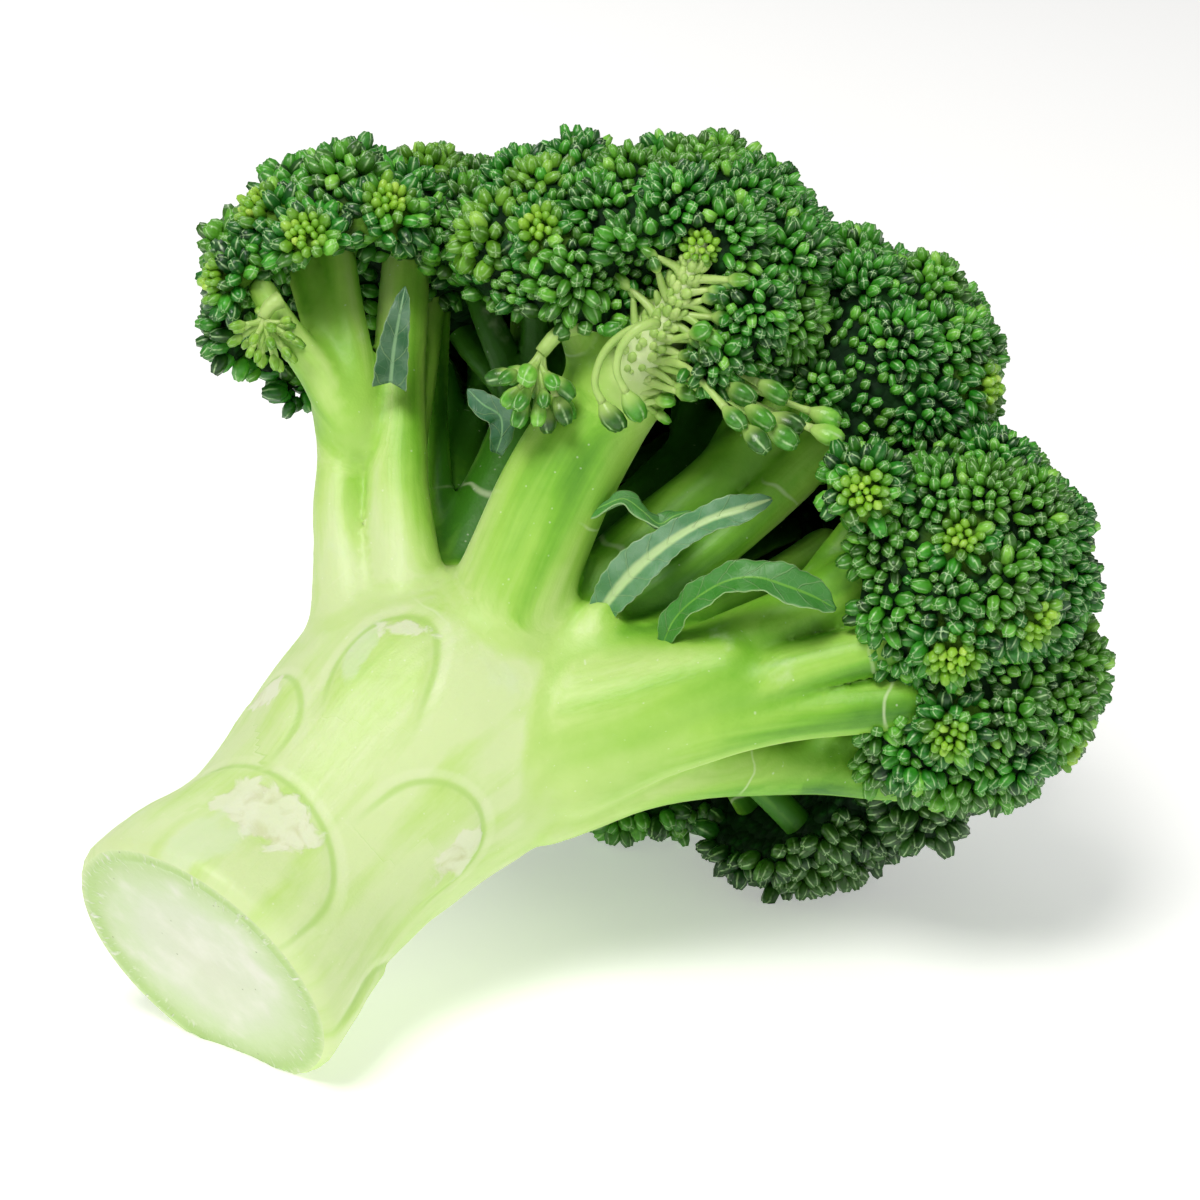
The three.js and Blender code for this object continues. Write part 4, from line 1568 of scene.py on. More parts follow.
    def build(self, crowns: Sequence["Crown"], finishes: "Finishes") -> bpy.types.Object:
        """Makes the piece.

        Args:
            crowns: The crowns that the branches lead to.
            finishes: The materials.

        Returns:
            The stalk.
        """
        limbs = self.limbs(crowns)
        points, corners, rim = self.cut(*self.flesh(limbs))
        triangles, quads = corners
        padded = np.concatenate([quads, triangles[:, [0, 1, 2, 2]]])
        points, values = self.dress(points, normals_of(points, padded), limbs)
        cut = np.zeros((len(points), 3))
        on_rim = points[rim] - points[rim].mean(axis=0)
        side, up = (v[0] for v in across(CUT.normal[None]))
        cut[rim] = self._cut_marks(on_rim, 1.0, side, up)
        draft = Draft(fibre=3, scar=3, skin=3, pure=1, cut=3)
        draft.add(points, [triangles, quads], cut=cut, **values)
        self.cap(draft, rim, points)
        return draft.build("stalk_and_branches", "stalk", Slot.STALK, [finishes.stem, finishes.cut])


# ------------------------------------------------------------------------------- the finishes in use


@dataclass
class Finishes:
    """One material of each kind, shared by the pieces."""

    stem: bpy.types.Material = field(default_factory=lambda: StemSkin().material())
    cut: bpy.types.Material = field(default_factory=lambda: CutFace().material())
    buds: bpy.types.Material = field(default_factory=lambda: BudSkin().material())
    sprout: bpy.types.Material = field(default_factory=lambda: SproutSkin().material())
    heart: bpy.types.Material = field(default_factory=lambda: CrownHeart().material())


# ------------------------------------------------------------------------------- buds


@dataclass(frozen=True)
class BudShape:
    """The outline of a closed bud.

    Attributes:
        sides: How many sides it has, twice the number of its sepals.
        rings: Heights and radii from the base up, as shares of its length and of half its width.
        seams: How far the seams between sepals are pressed in at each ring, as shares of the radius.
        notch: The height of the notch at its tip.
    """

    sides: int
    rings: tuple[tuple[float, float], ...]
    seams: tuple[float, ...]
    notch: float

    def points(self) -> tuple[np.ndarray, np.ndarray, np.ndarray]:
        """One bud of width and length 1, standing on the origin.

        Returns:
            Its points, their heights and how near a seam each one is.
        """
        turn = 2 * math.pi * np.arange(self.sides) / self.sides
        seam = 0.5 - 0.5 * np.cos(turn * 4)
        found = []
        for (height, radius), pressed in zip(self.rings, self.seams):
            out = 0.5 * radius * (1.0 - (1.0 - pressed) * seam)
            level = np.full(self.sides, height) + (0.02 * (1 - seam) if pressed < 0.9 else 0.0)
            found.append(np.stack([out * np.cos(turn), out * np.sin(turn), level], axis=1))
        ends = np.array([[0.0, 0.0, 0.0], [0.0, 0.0, self.notch]])
        points = np.concatenate([*found, ends])
        seams = np.concatenate([np.tile(seam, len(self.rings)), [0.0, 1.0]])
        return points, np.clip(points[:, 2], 0, 1), seams

    def faces(self) -> list[np.ndarray]:
        """The faces of one bud, as arrays of four and of three corners."""
        return hull(len(self.rings), self.sides)


RIPE_BUD = BudShape(8, ((0.06, 0.5), (0.34, 1.0), (0.7, 0.93), (0.95, 0.52)), (1, 0.9, 0.8, 0.66), 0.86)
FILL_BUD = BudShape(8, ((0.1, 0.66), (0.5, 1.0), (0.92, 0.58)), (1, 0.88, 0.68), 0.84)
YOUNG_BUD = BudShape(6, ((0.1, 0.6), (0.5, 1.0), (0.86, 0.66)), (1, 1, 0.95), 0.98)
LARGE_BUD = BudShape(
    16, ((0.0, 0.28), (0.12, 0.5), (0.32, 0.84), (0.56, 1.0), (0.78, 0.88), (0.93, 0.55)),
    (1, 0.98, 0.94, 0.9, 0.84, 0.7), 0.9,
)


@dataclass
class Buds:
    """Buds of one shape, one a row.

    Attributes:
        base: Where their bases are.
        axis: The directions in which they point.
        width: Their widths.
        length: Their lengths.
        age: 1 for the youngest, 0 for the ripest.
        shade: How much darker than usual they all are painted, as painted shade.
    """

    base: np.ndarray
    axis: np.ndarray
    width: np.ndarray
    length: np.ndarray
    age: np.ndarray
    shade: float = 0.0

    def some(self, chosen: np.ndarray) -> "Buds":
        """Only the chosen ones."""
        return Buds(*(values[chosen] for values in (self.base, self.axis, self.width, self.length, self.age)))

    @staticmethod
    def together(groups: Sequence["Buds"]) -> "Buds":
        """All the buds of several groups."""
        names = ("base", "axis", "width", "length", "age")
        return Buds(*(np.concatenate([getattr(group, name) for group in groups]) for name in names))

    def draw(self, draft: Draft, shape: BudShape, rng: np.random.Generator, stalked: float = 0.0) -> None:
        """Adds the buds to a piece.

        Args:
            draft: The piece.
            shape: What each bud looks like.
            rng: The random draws.
            stalked: 1 if their feet run into pale stems.
        """
        count = len(self.base)
        if not count:
            return
        unit_points, heights, seams = shape.points()
        side, up = across(self.axis)
        roll = rng.uniform(0, 2 * math.pi, count)[:, None]
        side, up = side * np.cos(roll) + up * np.sin(roll), up * np.cos(roll) - side * np.sin(roll)
        flat = rng.uniform(0.9, 1.1, count)
        x = unit_points[None, :, 0] * (self.width * flat)[:, None]
        y = unit_points[None, :, 1] * (self.width / flat)[:, None]
        bow = rng.normal(0, 0.06, count)[:, None] * self.length[:, None]
        x = x + bow * unit_points[None, :, 2] ** 2
        z = unit_points[None, :, 2] * self.length[:, None]
        points = self.base[:, None] + x[..., None] * side[:, None] + y[..., None] * up[:, None]
        points = points + z[..., None] * self.axis[:, None]
        size = len(unit_points)
        steps = np.arange(count)[:, None, None] * size
        faces = [(face[None] + steps).reshape(-1, face.shape[1]) for face in shape.faces()]
        # painted shade: the buds of a crown that lies in shadow get a lower, darker tint
        tint = np.clip(rng.normal(0.45, 0.24, count), 0.0, 1.0) - self.shade
        look = np.stack(np.broadcast_arrays(heights, seams, tint[:, None]), axis=2)
        painted = {"bud": look.reshape(-1, 3), "age": np.repeat(self.age, size), "stalked": np.array(stalked)}
        draft.add(points.reshape(-1, 3), faces, **painted)


# ------------------------------------------------------------------------------- the crowns


@dataclass(frozen=True)
class Lump:
    """A round lump of a crown, about the middle of the dome.

    Attributes:
        azimuth: In degrees.
        polar: In degrees.
        reach: How far out its middle is.
        radius: Its radius.
    """

    azimuth: float
    polar: float
    reach: float
    radius: float

    @property
    def centre(self) -> np.ndarray:
        """Its middle in the head's frame."""
        return on_dome(self.azimuth, self.polar, self.reach)


@dataclass(frozen=True)
class Crown:
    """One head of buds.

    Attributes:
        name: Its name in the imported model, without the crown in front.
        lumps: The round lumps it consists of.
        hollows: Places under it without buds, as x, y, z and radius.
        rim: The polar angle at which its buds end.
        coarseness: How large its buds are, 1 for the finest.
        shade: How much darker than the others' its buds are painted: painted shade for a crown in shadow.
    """

    name: str
    lumps: tuple[Lump, ...]
    hollows: tuple[tuple[float, float, float, float], ...] = ()
    rim: float = 180.0
    coarseness: float = 1.0
    shade: float = 0.0


CROWNS = (
    Crown(
        "left", (Lump(147.4, 83.6, 62.3, 25), Lump(136.8, 66.4, 59.8, 23)),
        ((-47.8, 20.7, 81.2, 23), (-60, 31.8, 80.2, 6.5), (-35, 34.5, 62.5, 17)),
    ),
    Crown("left_back", (Lump(106, 66, 64.5, 20.5),), coarseness=1.2),
    Crown("far", (Lump(77.9, 70.7, 58.3, 22),), coarseness=1.2),
    Crown("far_low", (Lump(49.1, 82.4, 49.9, 24),), coarseness=1.2),
    Crown("ground_far", (Lump(15.9, 78.1, 53, 22),), coarseness=1.2),
    # the crown on the ground under the head: its buds are painted darker, as painted shade
    Crown(
        "ground_near", (Lump(341.7, 75.2, 53.9, 24), Lump(316, 76.5, 66, 10)), coarseness=1.15, shade=0.72
    ),
    Crown(
        "right", (Lump(291, 67, 62.3, 24.5), Lump(271.8, 61, 62.4, 24), Lump(247, 68.5, 60.5, 8)),
        coarseness=0.94,
    ),
    Crown(
        "middle", (Lump(179.9, 60.5, 54, 24), Lump(198.5, 53, 56.6, 25.6)), ((-55.1, -25.6, 106.5, 10.5),),
        78.0, 0.95,
    ),
    Crown("upper", (Lump(243, 36, 57, 24.9), Lump(207, 28.5, 56.5, 16)), coarseness=0.93),
    Crown("crest_left", (Lump(124.3, 45.6, 55.9, 26), Lump(152, 66, 57, 9)), coarseness=0.95),
    Crown("crest_far", (Lump(73.4, 45, 56.6, 26),), coarseness=1.2),
    Crown("crest_low", (Lump(21, 44.4, 57.6, 26),), coarseness=1.2),
    Crown("crest_right", (Lump(327.3, 44.6, 57.7, 26),)),
    Crown("apex", (Lump(32.6, 7.4, 55.6, 27), Lump(285, 27, 53, 14), Lump(168, 24, 53, 13)), coarseness=1.08),
)


@dataclass
class Umbel:
    """A small round cluster of buds.

    Attributes:
        crown: The name of its crown.
        seat: The top of the round cap that its buds stand on.
        normal: The way its lump looks there.
        radius: The cap's radius.
        age: 1 for the youngest.
        coarseness: How large its buds are.
        knot_size: How many buds stand together in a knot.
        young_gaps: How far apart young buds stand in its middle and at its edge.
        ripe_gaps: How far apart ripe ones of the finest kind stand there.
        edge: How far from its middle its buds end, in degrees.
        room: The area that each bud takes up, as a share of the square of its gap.
    """

    crown: str
    seat: np.ndarray
    normal: np.ndarray
    radius: float
    age: float
    coarseness: float
    knot_size: int = 6
    young_gaps: tuple[float, float] = (1.05, 2.2)
    ripe_gaps: tuple[float, float] = (1.88, 2.28)
    edge: float = 82.0
    room: float = 0.87

    @property
    def centre(self) -> np.ndarray:
        """The middle of the cap's ball."""
        return self.seat - self.normal * self.radius

    def buds(self, rng: np.random.Generator) -> Buds:
        """Sets buds on the cap in a spiral, the youngest in the middle.

        Args:
            rng: The random draws.

        Returns:
            The buds of the whole cap, also those that its neighbours leave no room for.
        """
        young = self.age > 0.5
        near, far = self.young_gaps if young else (gap * self.coarseness for gap in self.ripe_gaps)
        side, up = (v[0] for v in across(self.normal[None]))
        start, drawn, number = rng.uniform(0, 2 * math.pi), 0.0, 0
        places, gaps, shares = [], [], []
        limit = 1.0 - math.cos(math.radians(self.edge))
        while drawn < limit:
            share = drawn / limit
            gap = near + (far - near) * min(1.0, share * (2.6 if young else 1.4)) ** (0.8 if young else 0.5)
            polar, turn = math.acos(1.0 - drawn), start + number * GOLDEN_ANGLE
            ring = math.sin(polar)
            places.append((ring * math.cos(turn), ring * math.sin(turn), math.cos(polar)))
            gaps.append(gap)
            shares.append(share)
            drawn += self.room * gap * gap / (2 * math.pi * self.radius**2)
            number += 1
        local, gaps, shares = np.array(places), np.array(gaps), np.array(shares)
        out = local[:, :1] * side + local[:, 1:2] * up + local[:, 2:] * self.normal
        knots = out[:: self.knot_size]
        off = out - knots[(out @ knots.T).argmax(axis=1)]
        if young:
            off = off * np.minimum(shares * 3.0, 1.0)[:, None]
        axis = unit(0.85 * out + 0.15 * self.normal + 1.3 * off + rng.normal(0, 0.13, out.shape))
        width = gaps * rng.uniform(0.9, 1.14, len(gaps)) * (1.2 if young else 1.0)
        length = width * rng.uniform(1.3, 1.7, len(gaps))
        lift = rng.normal(0, 0.25, len(gaps)) - 0.36 * length - 2.5 * (off**2).sum(axis=1)
        base = self.centre + unit(out - 0.3 * off) * (self.radius + lift)[:, None]
        age = np.clip(self.age * (1.2 - 4.0 * shares), 0, 1) if young else np.full(len(gaps), self.age)
        return Buds(base, axis, width, length, age)


@dataclass
class Canopy:
    """All crowns together: where their clusters sit, and what each crown looks like.

    Attributes:
        crowns: The crowns.
        spacing: How far apart the middles of clusters are.
        inner_reach: How near the dome's middle the crowns' undersides come.
        trunk_room: The radius and top of the bare space around the stalk.
        bare: A stem that shows between the buds, as its two ends and a radius.
        young: Where the youngest clusters are, as azimuth, polar angle, reach and age.
        young_share: The share of the other clusters that are young.
        seen_inside: The crowns whose undersides can be seen between the branches.
        cap_radii: The smallest and the largest radius of a cluster's cap.
        ripe_age: The largest age of clusters that aren't young.
        fill_widths: The smallest and the largest width of the buds that fill gaps.
        heart_cell: The spacing of the grid that a crown's heart is drawn in.
        heart_depth: How deep the heart lies under the crown's lumps.
        cap_depth: How deep it lies under the clusters' caps.
    """

    crowns: tuple[Crown, ...] = CROWNS
    spacing: float = 9.3
    inner_reach: float = 54.0
    trunk_room: tuple[float, float] = (48.0, 50.0)
    bare: tuple[Point, Point, float] = ((-42, -16.5, 104), RIM_STEM[-1], 4.4)
    young: tuple[tuple[float, float, float, float], ...] = (
        (160.7, 90.1, 77.4, 1), (155.9, 92.7, 80.6, 1), (163.3, 80.1, 73.6, 1), (185.8, 74.4, 70.4, 1),
        (150.2, 96.9, 80.3, 0.8), (145.3, 100.4, 77.2, 0.45), (173.8, 77, 67.9, 0.45),
        (177.6, 68.1, 75.3, 0.45), (145.1, 63, 77.4, 0.45), (244.2, 73.1, 64.4, 0.9),
        (257.6, 70.8, 72.6, 0.8), (271.5, 71.5, 79, 1), (270.5, 78.3, 68.8, 1), (276.8, 78.6, 72.9, 1),
        (281.1, 84.3, 69.1, 0.8), (263.3, 77.4, 67.2, 0.45),
    )
    young_share: float = 0.05
    seen_inside: tuple[str, ...] = ("left", "left_back", "far", "far_low", "crest_left", "middle")
    cap_radii: tuple[float, float] = (5.6, 7.0)
    ripe_age: float = 0.22
    fill_widths: tuple[float, float] = (1.85, 2.3)
    heart_cell: float = 1.9
    heart_depth: float = 4.4
    cap_depth: float = 0.9

    @property
    def hollows(self) -> list[tuple[np.ndarray, float]]:
        """The middles and radii of all places without buds."""
        return [(np.array(hollow[:3]), hollow[3]) for crown in self.crowns for hollow in crown.hollows]

    def others(self, crown: Crown) -> list[Lump]:
        """The lumps of all other crowns."""
        return [lump for other in self.crowns for lump in other.lumps if other is not crown]

    def free(self, points: np.ndarray, crown: Crown, margin: float) -> np.ndarray:
        """Where buds of a crown may be.

        Args:
            points: The places in question.
            crown: Whose buds they are.
            margin: How far they keep from the bare places.

        Returns:
            True for each place that may have one.
        """
        away = points - DOME
        fine = outside(points, DOME, self.inner_reach + margin)
        room, top = self.trunk_room
        fine &= (np.hypot(points[:, 0], points[:, 1]) > room + margin) | (points[:, 2] > top + margin)
        for middle, radius in self.hollows:
            fine &= outside(points, middle, radius + margin)
        polar = np.degrees(np.arctan2(np.hypot(away[:, 0], away[:, 1]), away[:, 2]))
        fine &= polar < crown.rim - math.degrees(margin / 60.0)
        if crown.name == "middle":
            first, last, radius = np.array(self.bare[0]), np.array(self.bare[1]), self.bare[2]
            span = last - first
            share = np.clip(((points - first) @ span) / span.dot(span), 0, 1)
            fine &= np.linalg.norm(points - first - share[:, None] * span, axis=1) > radius + margin
        return fine & (HEAD.height(points) > -0.4)

    def _candidates(self) -> tuple[np.ndarray, np.ndarray, np.ndarray]:
        """Finds places on all lumps where a cluster could sit.

        Returns:
            Their points, their directions and the numbers of their crowns.
        """
        found = []
        for number, crown in enumerate(self.crowns):
            for lump in crown.lumps:
                count = int(math.pi * lump.radius**2)
                out = spiral(1 - 2 * (np.arange(count) + 0.5) / count, 0.5)
                points = lump.centre + out * (lump.radius - 1.8)
                fine = self.free(points, crown, 1.0)
                for other in [*crown.lumps, *self.others(crown)]:
                    if other is not lump:
                        fine &= outside(points, other.centre, other.radius - 2.4)
                found.append((points[fine], out[fine], np.full(fine.sum(), number)))
        return tuple(np.concatenate(part) for part in zip(*found))

    def umbels(self) -> list[Umbel]:
        """Seats the clusters, first the youngest ones.

        Returns:
            The clusters.
        """
        rng = np.random.default_rng(11)
        points, normals, numbers = self._candidates()
        order = rng.permutation(len(points))
        points, normals, numbers = points[order], normals[order], numbers[order]
        alive = np.ones(len(points), bool)
        found = []
        queue = []
        for *place, age in self.young:
            queue.append((int(np.linalg.norm(points - on_dome(*place), axis=1).argmin()), age))
        while queue or alive.any():
            if queue:
                chosen, age = queue.pop(0)
                if not alive[chosen]:
                    continue
            else:
                chosen = int(alive.argmax())
                # no young clusters on a crown whose buds are painted in shade
                budding = rng.random() < self.young_share and not self.crowns[numbers[chosen]].shade
                age = 1.0 if budding else float(rng.uniform(0, self.ripe_age))
            normal = unit(normals[chosen] + rng.normal(0, 0.07, 3))
            seat = points[chosen] + normal * rng.normal(0.2, 0.55)
            radius = rng.uniform(*self.cap_radii)
            crown = self.crowns[numbers[chosen]]
            polar = math.degrees(math.acos(unit(seat - DOME)[2]))
            coarse = crown.coarseness * (1.0 + 0.25 * float(ease(np.array(polar), 62.0, 80.0)))
            found.append(Umbel(crown.name, seat, normal, radius, age, coarse))
            gap = self.spacing * rng.uniform(0.9, 1.12)
            alive &= outside(points, points[chosen], gap)
        return found

    def buds(self, umbels: Sequence[Umbel]) -> dict[str, Buds]:
        """Sets the buds of every cluster, and leaves out those without room.

        Args:
            umbels: The clusters.

        Returns:
            The buds of each crown, by its name.
        """
        rng = np.random.default_rng(12)
        centres = np.array([umbel.centre for umbel in umbels])
        radii = np.array([umbel.radius for umbel in umbels])
        by_name = {crown.name: crown for crown in self.crowns}
        kept: list[tuple[str, Buds]] = []
        for number, umbel in enumerate(umbels):
            buds = umbel.buds(rng)
            middle = buds.base + buds.axis * (buds.length * 0.45)[:, None]
            near = np.linalg.norm(centres - umbel.centre, axis=1) < 2.6 * radii.max()
            near[number] = False
            gaps = np.linalg.norm(middle[:, None] - centres[None, near], axis=2) - radii[near]
            fine = gaps.min(axis=1, initial=9.0) > -0.35
            fine &= self.free(middle, by_name[umbel.crown], 0.0)
            kept.append((umbel.crown, buds.some(fine)))
        everything = Buds.together([buds for _, buds in kept])
        names = np.concatenate([[name] * len(buds.base) for name, buds in kept])
        fine = self._apart(everything)
        return {name: everything.some(fine & (names == name)) for name in by_name}

    @staticmethod
    def _apart(buds: Buds, closeness: float = 0.34) -> np.ndarray:
        """Finds buds that stand clear of each other.

        Args:
            buds: The buds, the first of which are kept.
            closeness: How near two may stand, as a share of their widths together.

        Returns:
            True for each bud that is kept.
        """
        middle = buds.base + buds.axis * (buds.length * 0.6)[:, None]
        tree = tree_of(middle)
        kept = np.ones(len(middle), bool)
        for number, (point, width) in enumerate(zip(middle.tolist(), buds.width.tolist())):
            if not kept[number]:
                continue
            for _, other, gap in tree.find_range(point, width):
                if other > number and kept[other] and gap < closeness * (width + buds.width[other]):
                    kept[other] = False
        return kept

    def fill(
        self, crown: Crown, surface: tuple[np.ndarray, np.ndarray], standing: KDTree, rng: np.random.Generator
    ) -> Buds:
        """Sets small buds wherever a crown's heart would show between the clusters.

        Args:
            crown: The crown.
            surface: Its heart's points and faces.
            standing: The middles of all buds that are there already.
            rng: The random draws.

        Returns:
            The buds that were missing.
        """
        points, faces = surface
        normals = normals_of(points, faces)
        out = unit(points - DOME)
        facing = (normals * out).sum(axis=1)
        inner = crown.name in self.seen_inside
        fine = outside(points, DOME, self.inner_reach + (0.3 if inner else 1.8))
        fine &= (facing > (-1.1 if inner else -0.6)) & self.free(points, crown, 0.0)
        for lump in self.others(crown):
            fine &= outside(points, lump.centre, lump.radius - 3.0)
        chosen = rng.permutation(np.flatnonzero(fine))
        points, normals, out, facing = (values[chosen] for values in (points, normals, out, facing))
        width = rng.uniform(*self.fill_widths, len(chosen)) * crown.coarseness
        width = width * np.where(facing < -0.2, 1.35, 1.0)
        length = width * rng.uniform(1.1, 1.4, len(chosen))
        axis = unit(0.55 * out + 0.55 * normals + rng.normal(0, 0.14, (len(chosen), 3)))
        buds = Buds(points - normals * 0.45, axis, width, length, rng.uniform(0, 0.25, len(chosen)))
        middle = (buds.base + buds.axis * (length * 0.5)[:, None]).tolist()
        lonely = np.array([standing.find(point)[2] > 0.78 * size for point, size in zip(middle, width)], bool)
        buds = buds.some(lonely)
        return buds.some(self._apart(buds, 0.42)) if len(buds.base) else buds

    def heart(self, crown: Crown, umbels: Sequence[Umbel]) -> tuple[np.ndarray, np.ndarray]:
        """The tissue under a crown's buds.

        Args:
            crown: The crown.
            umbels: Its clusters.

        Returns:
            The surface's points and four-cornered faces.
        """
        reach = max(lump.radius for lump in crown.lumps)
        centres = np.array([lump.centre for lump in crown.lumps])
        grid = Grid(centres.min(axis=0) - reach, centres.max(axis=0) + reach, self.heart_cell)
        for lump in crown.lumps:
            grid.ball(lump.centre, lump.radius - self.heart_depth, 0.5)
        for umbel in umbels:
            grid.ball(umbel.centre, umbel.radius - self.cap_depth, 0.8)
        axes = grid.axes
        for lump in self.others(crown):
            self._split(grid, crown, lump, axes)
        for middle, radius in [(DOME, self.inner_reach), *self.hollows]:
            grid.take_away(radius + 0.6 - np.sqrt(squared_gap(axes, middle)))
        if crown.rim < 180:
            slope = math.radians(crown.rim - 1.0)
            level = np.hypot(axes[0] - DOME[0], axes[1] - DOME[1]) * math.cos(slope)
            grid.take_away(level - (axes[2] - DOME[2]) * math.sin(slope))
        return grid.surface(3)

    @staticmethod
    def _freshness(points: np.ndarray, umbels: Sequence[Umbel]) -> np.ndarray:
        """How near places are to the youngest clusters.

        Args:
            points: The places.
            umbels: The clusters around them.

        Returns:
            1 for each place under a young one, and 0 elsewhere.
        """
        fresh = np.zeros(len(points))
        for umbel in umbels:
            if umbel.age > 0.5:
                gap = np.linalg.norm(points - umbel.centre, axis=1) - umbel.radius
                fresh = np.maximum(fresh, ease(gap, 1.0, -0.5))
        return fresh

    @staticmethod
    def _split(grid: Grid, crown: Crown, other: Lump, axes: Sequence[np.ndarray]) -> None:
        """Takes away what lies nearer to another crown's lump than to the crown's own.

        Args:
            grid: The grid that the crown's heart is drawn in.
            crown: The crown.
            other: The other crown's lump.
            axes: The coordinates along the grid.
        """
        nearest = min(crown.lumps, key=lambda lump: np.linalg.norm(lump.centre - other.centre))
        span = other.centre - nearest.centre
        distance = np.linalg.norm(span)
        if distance > nearest.radius + other.radius + 1:
            return
        plane = (distance**2 + nearest.radius**2 - other.radius**2) / (2 * distance)
        runs = zip(axes, nearest.centre, span / distance)
        level = sum((values - start) * way for values, start, way in runs) - plane + 0.1
        own = [squared_gap(axes, lump.centre) - lump.radius**2 for lump in crown.lumps]
        is_nearest = np.minimum.reduce(own) >= own[crown.lumps.index(nearest)] - 1e-6
        grid.take_away(np.where(is_nearest, level, -50.0))

    def build(self, finishes: Finishes) -> list[bpy.types.Object]:
        """Makes the crowns.

        Args:
            finishes: The materials.

        Returns:
            The crowns' pieces.
        """
        umbels = self.umbels()
        buds = self.buds(umbels)
        everything = Buds.together(list(buds.values()))
        standing = tree_of(everything.base + everything.axis * (everything.length * 0.5)[:, None])
        log.info("%d clusters, %d buds", len(umbels), len(everything.base))
        made = []
        for number, crown in enumerate(self.crowns):
            rng = np.random.default_rng(100 + number)
            draft = Draft(bud=3, age=1, stalked=1)
            own = [umbel for umbel in umbels if umbel.crown == crown.name]
            surface = self.heart(crown, own)
            group = buds[crown.name]
            young = group.age > 0.45
            filling = self.fill(crown, surface, standing, rng)
            parts = (group.some(~young), RIPE_BUD), (group.some(young), YOUNG_BUD), (filling, FILL_BUD)
            for part, shape in parts:
                part.shade = crown.shade
                part.draw(draft, shape, rng)
            draft.add(surface[0], [surface[1]], 1, age=self._freshness(surface[0], own))
            if crown.name == "middle":
                RimStems().draw(draft, rng)
            finish = [finishes.buds, finishes.heart, finishes.sprout]
            made.append(draft.build(f"buds_{crown.name}", f"crown_{crown.name}", Slot.BUDS, finish))
        return made


# ------------------------------------------------------------------------------- stems with large buds


def stem_with_bud(
    draft: Draft, route: Sequence[Point], girth: Sequence[float], width: float,
    rng: np.random.Generator, stem_finish: int, shape: BudShape = LARGE_BUD, age: float = 0.12,
) -> None:
    """Adds a thin stem that swells under one bud at its end.

    Args:
        draft: The piece.
        route: The stem's points.
        girth: Its radii, evenly spaced along it.
        width: The bud's width, or 0 for a stem without one.
        rng: The random draws.
        stem_finish: The number of the stem's material in the piece.
        shape: What the bud looks like.
        age: 1 for a young bud.
    """
    line = Line(route, 0.9)
    radii = line.radii(girth)
    if width:
        swell = ease(line.lengths, line.lengths[-1] - 0.5 * width, line.lengths[-1])
        radii = radii + swell * (0.2 * width - radii[-1]) * 0.9
    points, faces = tube(line, radii, 10 if width > 3 else 7)
    tint = np.clip(rng.normal(0.35, 0.12), 0, 1)
    draft.add(points, faces, stem_finish, bud=np.array([0.0, 0.0, tint]))
    if width:
        axis = line.along[-1:]
        base = line.points[-1:] - axis * 0.1 * width
        length = np.array([width * rng.uniform(1.45, 1.7)])
        Buds(base, axis, np.array([width]), length, np.array([age])).draw(draft, shape, rng, 1.0)


